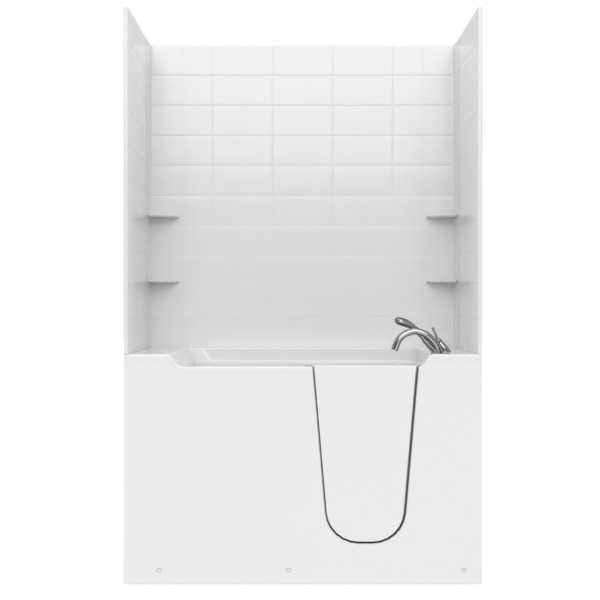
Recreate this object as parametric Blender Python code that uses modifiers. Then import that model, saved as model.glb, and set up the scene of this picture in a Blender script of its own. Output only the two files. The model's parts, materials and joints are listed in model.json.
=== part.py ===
"""A walk-in bathtub with an inward door, its deck fittings and a three-sided tiled shower wall kit.

Metres, +Z up. The front faces -Y and the origin is on the floor, under the centre of the tub.
"""

import math

import bmesh
import bpy
import numpy as np
from mathutils import Matrix, Vector

# Whole product
TUB_WIDTH = 1.524
TUB_DEPTH = 0.762
DECK_HEIGHT = 0.978
WALL_HEIGHT = 1.473
SEAT_GAP = 0.0003
CUT_PAST = 0.020

# Round faces
FINE_STEPS = 24
ROUND_STEPS = 16
SMALL_STEPS = 12
CORNER_STEPS = 4
ARC_STEPS = 6
SMOOTH_ANGLE = math.radians(35)
WELD_DISTANCE = 0.00001
FLAT_ANGLE = math.radians(0.1)

# Tub shell: skin, deck and the rim that drops in front of the basin
SKIN = 0.006
FRONT_LIP = 0.025
SIDE_LIP = 0.034
RIM_WIDTH = 0.048
RIM_ROUND = 0.007
RIM_BLEND = 0.062
DECK_LEFT = 0.196
DECK_RIGHT = 0.217
DECK_BACK = 0.081
RIM_DROP = 0.053
RIM_SLOPE_ANGLE = math.radians(52)
RIM_FILLET_LEFT = 0.035
RIM_FILLET_RIGHT = 0.012
RIM_SHOULDER = 0.016

# Basin above the seat
BASIN_LEAN = 0.003
LEDGE_DROP = 0.065
LEDGE_FALL = 0.002
LEDGE_WIDTH = 0.018
LEDGE_WIDTH_RIGHT = 0.007
BASIN_CORNER_FRONT_LEFT = 0.050
BASIN_CORNER_FRONT_RIGHT = 0.012
BASIN_CORNER_BACK = 0.085
SEAT_HEIGHT = 0.430
SEAT_FILLET = 0.040
BACKREST_RUN = 0.100
LEAST_CORNER = 0.004

# Footwell in front of the seat
WELL_LENGTH = 0.515
WELL_FLOOR = 0.110
WELL_FILLET = 0.030
WELL_RISER_LEAN = 0.020
WELL_OVERLAP = 0.070
WELL_CORNER = 0.060
WELL_CORNER_FRONT = 0.020

# Doorway, seen from the front: a U with leaning sides
DOOR_FROM_RIGHT = 0.496
DOORWAY_HALF_WIDTH = 0.223
DOORWAY_BOTTOM = 0.177
DOORWAY_CORNER = 0.1405
DOORWAY_SIDE_ANGLE = math.radians(4.93)

# Steel frame round the doorway, in distances outwards from the doorway line
FRAME_OUTER = 0.0045
FRAME_INNER = 0.0020
FRAME_FLANGE_WIDTH = 0.030
FRAME_FLANGE_WIDTH_HINGE = 0.022
FRAME_FLANGE_THICKNESS = 0.003
FLANGE_RISE = 0.004

# Door leaf
LEAF_GAP_LATCH = 0.0065
LEAF_GAP_HINGE = 0.0106
LEAF_GAP_BOTTOM = 0.0076
LEAF_DRAFT = 0.001
LEAF_FLANGE_WIDTH = 0.024
LEAF_FLANGE_WIDTH_HINGE = 0.013
LEAF_FLANGE_THICKNESS = 0.014
LEAF_TOP_ROUND = 0.004
GASKET_INSET = 0.004
GASKET_WIDTH = 0.008
GASKET_THICKNESS = 0.006

# Door hinges
HINGE_CLEAR = 0.009
HINGE_UPPER_SHARE = 0.833
HINGE_LOWER_SHARE = 0.245
KNUCKLE_RADIUS = 0.007
KNUCKLE_HEIGHT = 0.029
KNUCKLE_PLAY = 0.0005
PIN_RADIUS = 0.003
PIN_HEAD_RADIUS = 0.0055
PIN_HEAD_HEIGHT = 0.003
LUG_HEIGHT = 0.008
LUG_CLEAR = 0.004
ARM_THICKNESS = 0.004
ARM_LENGTH = 0.060

# Door latch
LATCH_SHARE = 0.699
LATCH_INSET = 0.004
LATCH_LENGTH = 0.064
LATCH_TALL = 0.052
LATCH_DEEP = 0.020
LATCH_ROUND = 0.003
BOLT_TALL = 0.014
BOLT_THICK = 0.008
BOLT_LENGTH = 0.050
BOLT_TRAVEL = 0.020
BOLT_PLAY = 0.0005
BOLT_DEEP = 0.006
LEVER_HUB_RADIUS = 0.013
LEVER_HUB_THICK = 0.011
LEVER_ARM_LENGTH = 0.095
LEVER_ARM_WIDTH = 0.018
LEVER_ARM_THICK = 0.008
KEEPER_LENGTH = 0.040
KEEPER_TALL = 0.044
KEEPER_WALL = 0.005
KEEPER_CLEAR = 0.006

# Front panel
PANEL_THICKNESS = 0.005
PANEL_RETURN = 0.020
PANEL_LIFT = 0.004
PANEL_DOOR_EDGE = 0.0048
BOSS_RADIUS = 0.017
RECESS_RADIUS = 0.0125
RECESS_DEPTH = 0.007
SCREW_RADIUS = 0.0025
SCREW_HEAD_RADIUS = 0.0075
SCREW_HEAD_HEIGHT = 0.004
SCREW_LENGTH = 0.034
SCREW_LEFT_IN = 0.150
SCREW_MIDDLE_OFF = 0.060
SCREW_RIGHT_IN = 0.080

# Steel base frame and feet
TUBE_SIZE = 0.030
TUBE_WALL = 0.0025
RAIL_BOTTOM = 0.044
RAIL_END_IN = 0.017
RAIL_BACK_IN = 0.021
POST_END_IN = 0.042
SEAT_POST_IN = 0.060
CROSS_LEFT_IN = 0.362
CROSS_WELL_IN = 0.070
FOOT_END_IN = 0.082
FOOT_RADIUS = 0.026
FOOT_PAD_HEIGHT = 0.010
FOOT_NECK_RADIUS = 0.012
FOOT_STUD_RADIUS = 0.006
FOOT_STUD_ABOVE = 0.014
FOOT_NUT_RADIUS = 0.0105
FOOT_NUT_HEIGHT = 0.008
FOOT_ROUND = 0.002

# Drain and overflow
DRAIN_BACK = 0.080
DRAIN_FLANGE_RADIUS = 0.036
DRAIN_FLANGE_HEIGHT = 0.003
DRAIN_TAIL_RADIUS = 0.022
DRAIN_BORE_RADIUS = 0.018
DRAIN_TAIL_LENGTH = 0.030
PLUG_RADIUS = 0.029
PLUG_HEIGHT = 0.004
PLUG_STEM_RADIUS = 0.004
PLUG_STEM_LENGTH = 0.024
PIPE_RADIUS = 0.019
PIPE_WALL = 0.0025
TEE_RADIUS = 0.028
TEE_BOTTOM = 0.012
TEE_BRANCH_HEIGHT = 0.056
TEE_BRANCH_RADIUS = 0.023
TEE_BRANCH_LENGTH = 0.070
PIPE_BEND = 0.045
PIPE_OFF_WALL = 0.024
OVERFLOW_SHARE = 0.712
OVERFLOW_PLATE_RADIUS = 0.038
OVERFLOW_PLATE_THICK = 0.007
OVERFLOW_TAIL_RADIUS = 0.013
KNOB_RADIUS = 0.026
KNOB_DEEP = 0.016
KNOB_STEM_RADIUS = 0.006
KNOB_GRIP_WIDTH = 0.010

# Deck fittings
SPOUT_END_IN = 0.163
SPOUT_FRONT_IN = 0.136
SPOUT_REACH = 0.199
SPOUT_HEIGHT = 0.095
SPOUT_RADIUS = 0.0135
SPOUT_PATH_shares = (
    (0, 0), (0.065, 0.326), (0.176, 0.61), (0.33, 0.863),
    (0.558, 1), (0.789, 0.83), (0.92, 0.558), (1, 0.137),
)
PATH_STEPS = 3
AERATOR_RADIUS = 0.0105
AERATOR_BORE_RADIUS = 0.0085
AERATOR_LENGTH = 0.012
AERATOR_STAND = 0.002
HOLDER_END_IN = 0.167
HOLDER_FRONT_IN = 0.196
HOLDER_TILT = math.radians(44)
HOLDER_BASE_RADIUS = 0.019
HOLDER_TOP_RADIUS = 0.0155
HOLDER_LENGTH = 0.085
HOLDER_BORE_DEPTH = 0.056
HANDSET_PLAY = 0.0006
HANDLE_RADIUS = 0.0115
HANDLE_STRAIGHT = 0.164
HANDLE_REACH = 0.242
HEAD_BEND = math.radians(26)
HOLDER_SHARE = 0.30
SWELL_PLACE_SHARE = 0.55
SWELL_SHARE = 1.12
HEAD_HALF_THICK = 0.0175
HEAD_HALF_WIDTH = 0.031
HEAD_SECTION_shares = (
    (0.66, 0.82, 0.55),
    (0.76, 0.98, 0.84),
    (0.86, 1, 1),
    (0.94, 0.86, 0.86),
    (0.985, 0.55, 0.52),
    (1, 0.20, 0.20),
)
VALVE_END_IN = 0.121
VALVE_FRONT_IN = 0.251
VALVE_TILT = math.radians(37)
VALVE_BASE_RADIUS = 0.0175
VALVE_TOP_RADIUS = 0.0135
VALVE_LENGTH = 0.052
VALVE_CAP_RADIUS = 0.0145
VALVE_CAP_HEIGHT = 0.018
VALVE_CAP_PROFILE_shares = ((0, 1), (0.5, 0.96), (0.86, 0.80), (1, 0.5))
VALVE_PIVOT_SHARE = 0.5
VALVE_SLOT_SHARE = 0.80
VALVE_LEVER_RADIUS = 0.0050
VALVE_LEVER_TIP_RADIUS = 0.0072
VALVE_LEVER_LENGTH = 0.064
VALVE_LEVER_LEAN = math.radians(14)
VALVE_LEVER_PLAY = 0.0005
VALVE_ROOT_RADIUS = 0.0075
SHANK_RADIUS = 0.008
SHANK_BELOW = 0.034
SHANK_PLAY = 0.001
NUT_RADIUS = 0.018
NUT_HEIGHT = 0.010

# Shower wall kit
WALL_THICKNESS = 0.019
WALL_EDGE_ROUND = 0.003
TILE_ROWS = 10
GROOVE_WIDTH = 0.009
GROOVE_DEPTH = 0.0028
COLUMN_THICKNESS = 0.0045
COLUMN_LENGTH = 0.1538
COLUMN_INNER_ROUND = 0.014
SHELF_LENGTH_BACK = 0.135
SHELF_LENGTH_SIDE = 0.112
SHELF_THICKNESS = 0.011
SHELF_EDGE_ROUND = 0.003
SHELF_LOWER_RISE = 0.321
SHELF_UPPER_RISE = 0.639

# Places that follow from the sizes above
FRONT = -TUB_DEPTH / 2
BACK = TUB_DEPTH / 2
RIGHT = TUB_WIDTH / 2
LEFT = -RIGHT
BASIN_FRONT = FRONT + RIM_WIDTH
BASIN_BACK = BACK - DECK_BACK
BASIN_LEFT = LEFT + DECK_LEFT
BASIN_RIGHT = RIGHT - DECK_RIGHT
BASIN_BACK_LOWER = BASIN_BACK - BASIN_LEAN - LEDGE_WIDTH
BASIN_LEFT_LOWER = BASIN_LEFT + BASIN_LEAN + LEDGE_WIDTH
BASIN_RIGHT_LOWER = BASIN_RIGHT - BASIN_LEAN - LEDGE_WIDTH_RIGHT
LEDGE_HEIGHT = DECK_HEIGHT - LEDGE_DROP
RIM_HEIGHT = DECK_HEIGHT - RIM_DROP
WELL_LEFT = BASIN_RIGHT_LOWER - WELL_LENGTH
DOORWAY_HEIGHT = RIM_HEIGHT - DOORWAY_BOTTOM
LATCH_HEIGHT = DOORWAY_BOTTOM + DOORWAY_HEIGHT * LATCH_SHARE
OVERFLOW_HEIGHT = SEAT_HEIGHT + (DECK_HEIGHT - SEAT_HEIGHT) * OVERFLOW_SHARE
DOOR_X = RIGHT - DOOR_FROM_RIGHT
FLANGE_TOP = RIM_HEIGHT + FLANGE_RISE
FRAME_FLANGE_FRONT = BASIN_FRONT + SEAT_GAP
FRAME_FLANGE_BACK = FRAME_FLANGE_FRONT + FRAME_FLANGE_THICKNESS
GASKET_FRONT = FRAME_FLANGE_BACK + SEAT_GAP
GASKET_BACK = GASKET_FRONT + GASKET_THICKNESS
LEAF_FLANGE_FRONT = GASKET_BACK + SEAT_GAP
LEAF_BACK = LEAF_FLANGE_FRONT + LEAF_FLANGE_THICKNESS
ARM_FRONT = LEAF_BACK + SEAT_GAP
ARM_BACK = ARM_FRONT + ARM_THICKNESS
RAIL_TOP = RAIL_BOTTOM + TUBE_SIZE
CROSS_BOTTOM = RAIL_TOP + SEAT_GAP
CROSS_TOP = WELL_FLOOR - SKIN - SEAT_GAP
RAIL_FRONT_Y = FRONT + PANEL_RETURN + 2 * SEAT_GAP + FOOT_RADIUS
RAIL_BACK_Y = BACK - RAIL_BACK_IN - TUBE_SIZE / 2
SCREW_HEIGHT = RAIL_BOTTOM + TUBE_SIZE / 2
WALL_BOTTOM = DECK_HEIGHT + SEAT_GAP
WALL_TOP = WALL_BOTTOM + WALL_HEIGHT
WALL_INNER_BACK = BACK - WALL_THICKNESS
WALL_INNER_SIDE = RIGHT - WALL_THICKNESS
ROW_HEIGHT = WALL_HEIGHT / TILE_ROWS
TILE_LENGTH = (WALL_INNER_SIDE - COLUMN_LENGTH) / 2
SIDE_TILE_LENGTH = (WALL_INNER_BACK - COLUMN_LENGTH - FRONT) / 2
SCREWS = {"left": LEFT + SCREW_LEFT_IN, "middle": -SCREW_MIDDLE_OFF, "right": RIGHT - SCREW_RIGHT_IN}

# Colour, roughness and metallic value of each finish
FINISHES = {
    "acrylic": ((0.83, 0.83, 0.83), 0.18, 0.0),
    "wall": ((0.81, 0.81, 0.81), 0.16, 0.0),
    "chrome": ((0.80, 0.80, 0.82), 0.08, 1.0),
    "steel": ((0.62, 0.63, 0.64), 0.28, 1.0),
    "zinc": ((0.55, 0.56, 0.57), 0.42, 1.0),
    "rubber": ((0.05, 0.05, 0.05), 0.75, 0.0),
    "pipe": ((0.78, 0.78, 0.76), 0.40, 0.0),
    "black_plastic": ((0.04, 0.04, 0.04), 0.50, 0.0),
}


def clear_scene():
    for old in list(bpy.data.objects):
        bpy.data.objects.remove(old, do_unlink=True)


def new_collection(name):
    made = bpy.data.collections.new(name)
    bpy.context.scene.collection.children.link(made)
    return made


def put_finish(obj, finish):
    """Gives the object a Principled material of its own."""
    colour, roughness, metallic = FINISHES[finish]
    material = bpy.data.materials.new(obj.name + "_" + finish)
    material.use_nodes = True
    shader = material.node_tree.nodes["Principled BSDF"]
    shader.inputs["Base Color"].default_value = (*colour, 1)
    shader.inputs["Roughness"].default_value = roughness
    shader.inputs["Metallic"].default_value = metallic
    obj.data.materials.append(material)


def part(name, data, finish, parent=None):
    """A sub-part: a visible object with its own finish."""
    obj = bpy.data.objects.new(name, data)
    parts_collection.objects.link(obj)
    obj.parent = parent
    put_finish(obj, finish)
    return obj


def tool(name, data, parent=None):
    """A helper shape for a Boolean: hidden in renders and drawn as wire."""
    obj = bpy.data.objects.new(name, data)
    tools_collection.objects.link(obj)
    obj.parent = parent
    obj.hide_render = True
    obj.display_type = "WIRE"
    return obj


def boolean(obj, other, operation):
    modifier = obj.modifiers.new(operation.lower() + "_" + other.name, "BOOLEAN")
    modifier.operation = operation
    modifier.object = other


def cut(obj, *others):
    for other in others:
        boolean(obj, other, "DIFFERENCE")


def join(obj, *others):
    for other in others:
        boolean(obj, other, "UNION")


def bore(radius, steps=ROUND_STEPS, play=SEAT_GAP):
    """The corner radius of a many-sided hole whose flats clear a round shaft by the play."""
    return (radius + play) / math.cos(math.pi / steps)


def axis_empty(name, location, rotation=(0, 0, 0), parent=None):
    """An empty on the axis that its children turn about or slide along."""
    empty = bpy.data.objects.new(name, None)
    parts_collection.objects.link(empty)
    empty.location = location
    empty.rotation_euler = rotation
    empty.parent = parent
    return empty


def keep_place(obj, empty):
    """Hangs a piece that was made in world coordinates on an empty, without moving it."""
    place = Matrix.Translation(empty.location) @ empty.rotation_euler.to_matrix().to_4x4()
    obj.parent = empty
    obj.matrix_parent_inverse = place.inverted()


def finish_mesh(bm, name):
    bmesh.ops.recalc_face_normals(bm, faces=bm.faces)
    mesh = bpy.data.meshes.new(name)
    bm.to_mesh(mesh)
    bm.free()
    return mesh


def smooth(mesh):
    mesh.shade_smooth()
    mesh.set_sharp_from_angle(angle=SMOOTH_ANGLE)
    return mesh


def box_mesh(name, low, high):
    """A box between two corners, from a unit cube."""
    low, high = Vector(low), Vector(high)
    bm = bmesh.new()
    size = high - low
    place = Matrix.Translation((low + high) / 2) @ Matrix.Diagonal((*size, 1))
    bmesh.ops.create_cube(bm, size=1, matrix=place)
    return finish_mesh(bm, name)


def boxes_mesh(name, corner_pairs):
    """Several boxes in one mesh."""
    bm = bmesh.new()
    for low, high in corner_pairs:
        low, high = Vector(low), Vector(high)
        size = high - low
        place = Matrix.Translation((low + high) / 2) @ Matrix.Diagonal((*size, 1))
        bmesh.ops.create_cube(bm, size=1, matrix=place)
    return finish_mesh(bm, name)


def cylinder_mesh(name, start, end, radius, steps=ROUND_STEPS):
    """A cylinder between two points, from a primitive."""
    start, end = Vector(start), Vector(end)
    span = end - start
    place = Matrix.Translation((start + end) / 2) @ span.to_track_quat("Z", "Y").to_matrix().to_4x4()
    bm = bmesh.new()
    bmesh.ops.create_cone(
        bm, cap_ends=True, segments=steps, depth=span.length, radius1=radius, radius2=radius, matrix=place
    )
    return smooth(finish_mesh(bm, name))


def cylinders_mesh(name, spans, radius, steps=ROUND_STEPS):
    """Several equal cylinders in one mesh."""
    bm = bmesh.new()
    for start, end in spans:
        start, end = Vector(start), Vector(end)
        span = end - start
        place = Matrix.Translation((start + end) / 2) @ span.to_track_quat("Z", "Y").to_matrix().to_4x4()
        bmesh.ops.create_cone(
            bm, cap_ends=True, segments=steps, depth=span.length, radius1=radius, radius2=radius, matrix=place
        )
    return smooth(finish_mesh(bm, name))


def loft_mesh(name, rings):
    """A closed skin over rings of one point count each, with a flat face at either end."""
    count = len(rings[0])
    points = [point for ring in rings for point in ring]
    faces = [tuple(range(count)), tuple(range(len(points) - count, len(points)))]
    for row in range(len(rings) - 1):
        low, high = row * count, (row + 1) * count
        for step in range(count):
            after = (step + 1) % count
            faces.append((low + step, low + after, high + after, high + step))
    mesh = bpy.data.meshes.new(name)
    mesh.from_pydata(points, [], faces)
    bm = bmesh.new()
    bm.from_mesh(mesh)
    bpy.data.meshes.remove(mesh)
    return finish_mesh(bm, name)


def solid_from_curve(name, curve):
    """The mesh of a curve with its loose caps welded."""
    guide = bpy.data.objects.new(name + "_guide", curve)
    tools_collection.objects.link(guide)
    bpy.context.view_layer.update()
    mesh = bpy.data.meshes.new_from_object(guide.evaluated_get(bpy.context.evaluated_depsgraph_get()))
    bpy.data.objects.remove(guide, do_unlink=True)
    bm = bmesh.new()
    bm.from_mesh(mesh)
    bpy.data.meshes.remove(mesh)
    bmesh.ops.remove_doubles(bm, verts=bm.verts, dist=WELD_DISTANCE)
    bmesh.ops.dissolve_limit(bm, angle_limit=FLAT_ANGLE, verts=bm.verts, edges=bm.edges)
    return finish_mesh(bm, name)


def plate_mesh(name, outline, thickness):
    """A flat outline in the XY plane, with its thickness centred on the plane."""
    curve = bpy.data.curves.new(name, "CURVE")
    curve.dimensions = "2D"
    curve.fill_mode = "BOTH"
    curve.extrude = thickness / 2
    spline = curve.splines.new("POLY")
    spline.points.add(len(outline) - 1)
    for point, place in zip(spline.points, outline):
        point.co = (*place, 0, 1)
    spline.use_cyclic_u = True
    return solid_from_curve(name, curve)


def front_plate(make, name, outline, front, back, *finish):
    """A plate seen from the front: its outline is in X and Z, its thickness runs from front to back."""
    obj = make(name, plate_mesh(name, outline, back - front), *finish)
    obj.rotation_euler = (math.radians(90), 0, 0)
    obj.location = (0, (front + back) / 2, 0)
    return obj


def tube_curve(name, path, radius, sides_level=3):
    """A round rod along points, with filled caps."""
    curve = bpy.data.curves.new(name, "CURVE")
    curve.dimensions = "3D"
    curve.bevel_depth = radius
    curve.bevel_resolution = sides_level
    curve.use_fill_caps = True
    spline = curve.splines.new("POLY")
    spline.points.add(len(path) - 1)
    for point, place in zip(spline.points, path):
        point.co = (*place, 1)
    return curve


def turned(make, name, profile, *finish, steps=ROUND_STEPS, closed=False, parent=None):
    """A profile of radius and height turned about Z. The outer side runs from top to bottom."""
    count = len(profile)
    edges = [(index, index + 1) for index in range(count - 1)]
    if closed:
        edges.append((count - 1, 0))
    mesh = bpy.data.meshes.new(name)
    mesh.from_pydata([(radius, 0, height) for radius, height in profile], edges, [])
    obj = make(name, mesh, *finish, parent=parent)
    screw = obj.modifiers.new("turn", "SCREW")
    screw.steps = steps
    screw.render_steps = steps
    screw.use_merge_vertices = True
    screw.merge_threshold = WELD_DISTANCE
    screw.use_smooth_shade = True
    return obj


def rounded_outline(corners, radii, steps=ARC_STEPS):
    """A closed outline whose corners are replaced by arcs tangent to both sides."""
    points = []
    for index, (corner, radius) in enumerate(zip(corners, radii)):
        if radius == 0:
            points.append(tuple(corner))
            continue
        here = Vector(corner)
        before = (Vector(corners[index - 1]) - here).normalized()
        after = (Vector(corners[(index + 1) % len(corners)]) - here).normalized()
        half = before.angle(after) / 2
        centre = here + (before + after).normalized() * (radius / math.sin(half))
        start = here + before * (radius / math.tan(half)) - centre
        turn = math.pi - 2 * half
        if before.x * after.y - before.y * after.x > 0:
            turn = -turn
        for step in range(steps + 1):
            angle = turn * step / steps
            spoke = Matrix.Rotation(angle, 2) @ start
            points.append((centre.x + spoke.x, centre.y + spoke.y))
    return points


def rounded_ring(left, right, front, back, radii, height):
    """A rounded rectangle in plan. The radii go front left, front right, back right, back left."""
    corners = ((left, front), (right, front), (right, back), (left, back))
    inward = ((1, 1), (-1, 1), (-1, -1), (1, -1))
    ring = []
    for quarter, ((x, y), (sign_x, sign_y), radius) in enumerate(zip(corners, inward, radii)):
        for step in range(CORNER_STEPS + 1):
            angle = math.pi + (quarter + step / CORNER_STEPS) * math.pi / 2
            ring.append((
                x + sign_x * radius + radius * math.cos(angle),
                y + sign_y * radius + radius * math.sin(angle),
                height,
            ))
    return ring


def smooth_path(points, steps):
    """A Catmull-Rom curve through the points, with a few steps to each span."""
    knots = [np.array(point, float) for point in points]
    knots = [2 * knots[0] - knots[1], *knots, 2 * knots[-1] - knots[-2]]
    path = []
    for a, b, c, d in zip(knots, knots[1:], knots[2:], knots[3:]):
        for step in range(steps):
            t = step / steps
            path.append((
                2 * b + (c - a) * t + (2 * a - 5 * b + 4 * c - d) * t**2 + (3 * b - a - 3 * c + d) * t**3
            ) / 2)
    return [*path, knots[-2]]


def rim_line(drop=0, end_in=0):
    """The deck's front edge from left to right, lowered in front of the basin, as X and Z."""
    run = RIM_DROP / math.tan(RIM_SLOPE_ANGLE)
    corners = (
        (LEFT + end_in, DECK_HEIGHT - drop),
        (BASIN_LEFT, DECK_HEIGHT - drop),
        (BASIN_LEFT + run, RIM_HEIGHT - drop),
        (BASIN_RIGHT - run, RIM_HEIGHT - drop),
        (BASIN_RIGHT, DECK_HEIGHT - drop),
        (RIGHT - end_in, DECK_HEIGHT - drop),
    )
    closed = rounded_outline(corners, (0, RIM_SHOULDER, RIM_FILLET_LEFT, RIM_FILLET_RIGHT, RIM_SHOULDER, 0))
    return closed


def below_rim(bottom, drop=0, end_in=0):
    """The outline between the lowered front edge and a level bottom."""
    line = rim_line(drop, end_in)
    return [*line, (RIGHT - end_in, bottom), (LEFT + end_in, bottom)]


def doorway_half(height, outwards=0):
    """Half the doorway's width at a height, with its side moved outwards."""
    lean = (height - RIM_HEIGHT) * math.tan(DOORWAY_SIDE_ANGLE)
    return DOORWAY_HALF_WIDTH + lean + outwards / math.cos(DOORWAY_SIDE_ANGLE)


def doorway_outline(top, left=0, right=0, bottom=0):
    """The U of the doorway closed by a level top, with each side moved outwards by its own distance."""
    low = DOORWAY_BOTTOM - bottom
    corners = (
        (DOOR_X - doorway_half(top, left), top),
        (DOOR_X - doorway_half(low, left), low),
        (DOOR_X + doorway_half(low, right), low),
        (DOOR_X + doorway_half(top, right), top),
    )
    return rounded_outline(corners, (0, DOORWAY_CORNER + left, DOORWAY_CORNER + right, 0))


def round_edges(obj, width, chosen, segments=2):
    """Bevels the edges whose two ends are both chosen, by weight."""
    mesh = obj.data
    weights = mesh.attributes.new("bevel_weight_edge", "FLOAT", "EDGE")
    for edge in mesh.edges:
        if all(chosen(mesh.vertices[index].co) for index in edge.vertices):
            weights.data[edge.index].value = 1
    bevel = obj.modifiers.new("round_edges", "BEVEL")
    bevel.width = width
    bevel.segments = segments
    bevel.limit_method = "WEIGHT"
    bevel.use_clamp_overlap = False


def round_all(obj, width, segments=2):
    bevel = obj.modifiers.new("round_edges", "BEVEL")
    bevel.width = width
    bevel.segments = segments
    bevel.limit_method = "ANGLE"


def upper_rings(grow, top):
    """The basin from the deck down to the seat, grown outwards by a wall for its outer face."""
    front = BASIN_FRONT - grow
    corners = (BASIN_CORNER_FRONT_LEFT, BASIN_CORNER_FRONT_RIGHT, BASIN_CORNER_BACK, BASIN_CORNER_BACK)

    def ring(left, right, back, height, inset=0):
        radii = [max(radius + grow - inset, LEAST_CORNER) for radius in corners]
        return rounded_ring(
            left - grow + inset, right + grow - inset, front + inset, back + grow - inset, radii, height
        )

    ledge_left, ledge_right = BASIN_LEFT + BASIN_LEAN, BASIN_RIGHT - BASIN_LEAN
    backrest_foot = BASIN_LEFT_LOWER + BACKREST_RUN
    rings = [
        ring(BASIN_LEFT, BASIN_RIGHT, BASIN_BACK, top),
        ring(ledge_left, ledge_right, BASIN_BACK - BASIN_LEAN, LEDGE_HEIGHT - grow),
        ring(BASIN_LEFT_LOWER, BASIN_RIGHT_LOWER, BASIN_BACK_LOWER, LEDGE_HEIGHT - LEDGE_FALL - grow),
    ]
    for step in range(CORNER_STEPS + 1):
        angle = math.radians(90) * step / CORNER_STEPS
        inset = SEAT_FILLET + grow - (SEAT_FILLET + grow) * math.cos(angle)
        height = SEAT_HEIGHT + SEAT_FILLET - (SEAT_FILLET + grow) * math.sin(angle)
        rings.append(ring(backrest_foot, BASIN_RIGHT_LOWER, BASIN_BACK_LOWER, height, inset))
    return rings


def well_rings(grow, top):
    """The footwell from just above the seat down to its floor."""
    corners = (WELL_CORNER_FRONT, BASIN_CORNER_FRONT_RIGHT, BASIN_CORNER_BACK, WELL_CORNER)

    def ring(left, height, inset=0):
        radii = [max(radius + grow - inset, LEAST_CORNER) for radius in corners]
        return rounded_ring(
            left - grow + inset, BASIN_RIGHT_LOWER + grow - inset, BASIN_FRONT - grow + inset,
            BASIN_BACK_LOWER + grow - inset, radii, height
        )

    rings = [ring(WELL_LEFT, top)]
    for step in range(CORNER_STEPS + 1):
        angle = math.radians(90) * step / CORNER_STEPS
        inset = WELL_FILLET + grow - (WELL_FILLET + grow) * math.cos(angle)
        height = WELL_FLOOR + WELL_FILLET - (WELL_FILLET + grow) * math.sin(angle)
        rings.append(ring(WELL_LEFT + WELL_RISER_LEAN, height, inset))
    return rings


def make_tub_shell():
    """The deck tray with the basin hung in it, then the basin, doorway and fitting holes cut through."""
    blend_back = FRONT + RIM_WIDTH + RIM_BLEND
    half_rim = (blend_back - FRONT) / 2
    on_rim = {(round(x, 5), round(z, 5)) for x, z in rim_line()}

    def rim_arris(co):
        return co.z > half_rim - WELD_DISTANCE and (round(co.x, 5), round(co.y, 5)) in on_rim

    shell = front_plate(part, "tub_shell", below_rim(RIM_HEIGHT - FRONT_LIP), FRONT, blend_back, "acrylic")
    round_edges(shell, RIM_ROUND, rim_arris, segments=3)
    lip_line = front_plate(
        tool, "front_lip_clear", [*rim_line(FRONT_LIP), (RIGHT + CUT_PAST, RIM_HEIGHT - RIM_DROP),
                                  (LEFT - CUT_PAST, RIM_HEIGHT - RIM_DROP)],
        FRONT - CUT_PAST, blend_back + CUT_PAST
    )
    deck = tool("deck_slab", box_mesh(
        "deck_slab", (LEFT, BASIN_FRONT + RIM_BLEND / 2, DECK_HEIGHT - SIDE_LIP), (RIGHT, BACK, DECK_HEIGHT)
    ))
    front_pocket = front_plate(
        tool, "front_pocket", below_rim(RIM_HEIGHT - RIM_DROP, SKIN, SKIN), FRONT + SKIN, blend_back - SKIN
    )
    deck_pocket = tool("deck_pocket", box_mesh(
        "deck_pocket", (LEFT + SKIN, blend_back - 2 * SKIN, RIM_HEIGHT - RIM_DROP),
        (RIGHT - SKIN, BACK - SKIN, DECK_HEIGHT - SKIN)
    ))
    outer = tool("basin_outer", loft_mesh("basin_outer", upper_rings(SKIN, DECK_HEIGHT - SKIN / 2)))
    above = DECK_HEIGHT + CUT_PAST
    rim_clear = front_plate(
        tool, "rim_clear", [*rim_line(SKIN / 2), (RIGHT, above), (LEFT, above)],
        FRONT - CUT_PAST, blend_back - SKIN
    )
    cut(outer, rim_clear)
    well_top = SEAT_HEIGHT + SEAT_FILLET / 2
    well_outer = tool("well_outer", loft_mesh("well_outer", well_rings(SKIN, well_top)))
    inner = tool("basin_inner", loft_mesh("basin_inner", upper_rings(0, above)))
    well_inner = tool("well_inner", loft_mesh("well_inner", well_rings(0, SEAT_HEIGHT + WELL_OVERLAP)))
    doorway = front_plate(
        tool, "doorway_clear", doorway_outline(above, PANEL_DOOR_EDGE, PANEL_DOOR_EDGE, PANEL_DOOR_EDGE),
        FRONT - CUT_PAST, BASIN_FRONT + CUT_PAST
    )
    deck_holes = tool("deck_holes", cylinders_mesh("deck_holes", [
        ((x, y, DECK_HEIGHT - CUT_PAST), (x, y, above)) for x, y in DECK_FITTINGS.values()
    ], bore(SHANK_RADIUS, SMALL_STEPS, SHANK_PLAY), SMALL_STEPS))
    drain_hole = tool("drain_hole", cylinder_mesh(
        "drain_hole", (DRAIN_X, DRAIN_BACK, WELL_FLOOR - CUT_PAST),
        (DRAIN_X, DRAIN_BACK, WELL_FLOOR + CUT_PAST), bore(DRAIN_TAIL_RADIUS, play=SHANK_PLAY)
    ))
    overflow_hole = tool("overflow_hole", cylinder_mesh(
        "overflow_hole", (DRAIN_X, BASIN_BACK_LOWER - CUT_PAST, OVERFLOW_HEIGHT),
        (DRAIN_X, BASIN_BACK_LOWER + CUT_PAST, OVERFLOW_HEIGHT), bore(OVERFLOW_TAIL_RADIUS)
    ))
    cut(shell, lip_line)
    join(shell, deck)
    cut(shell, front_pocket, deck_pocket)
    join(shell, outer, well_outer)
    cut(shell, inner, well_inner, doorway, deck_holes, drain_hole, overflow_hole)


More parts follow.
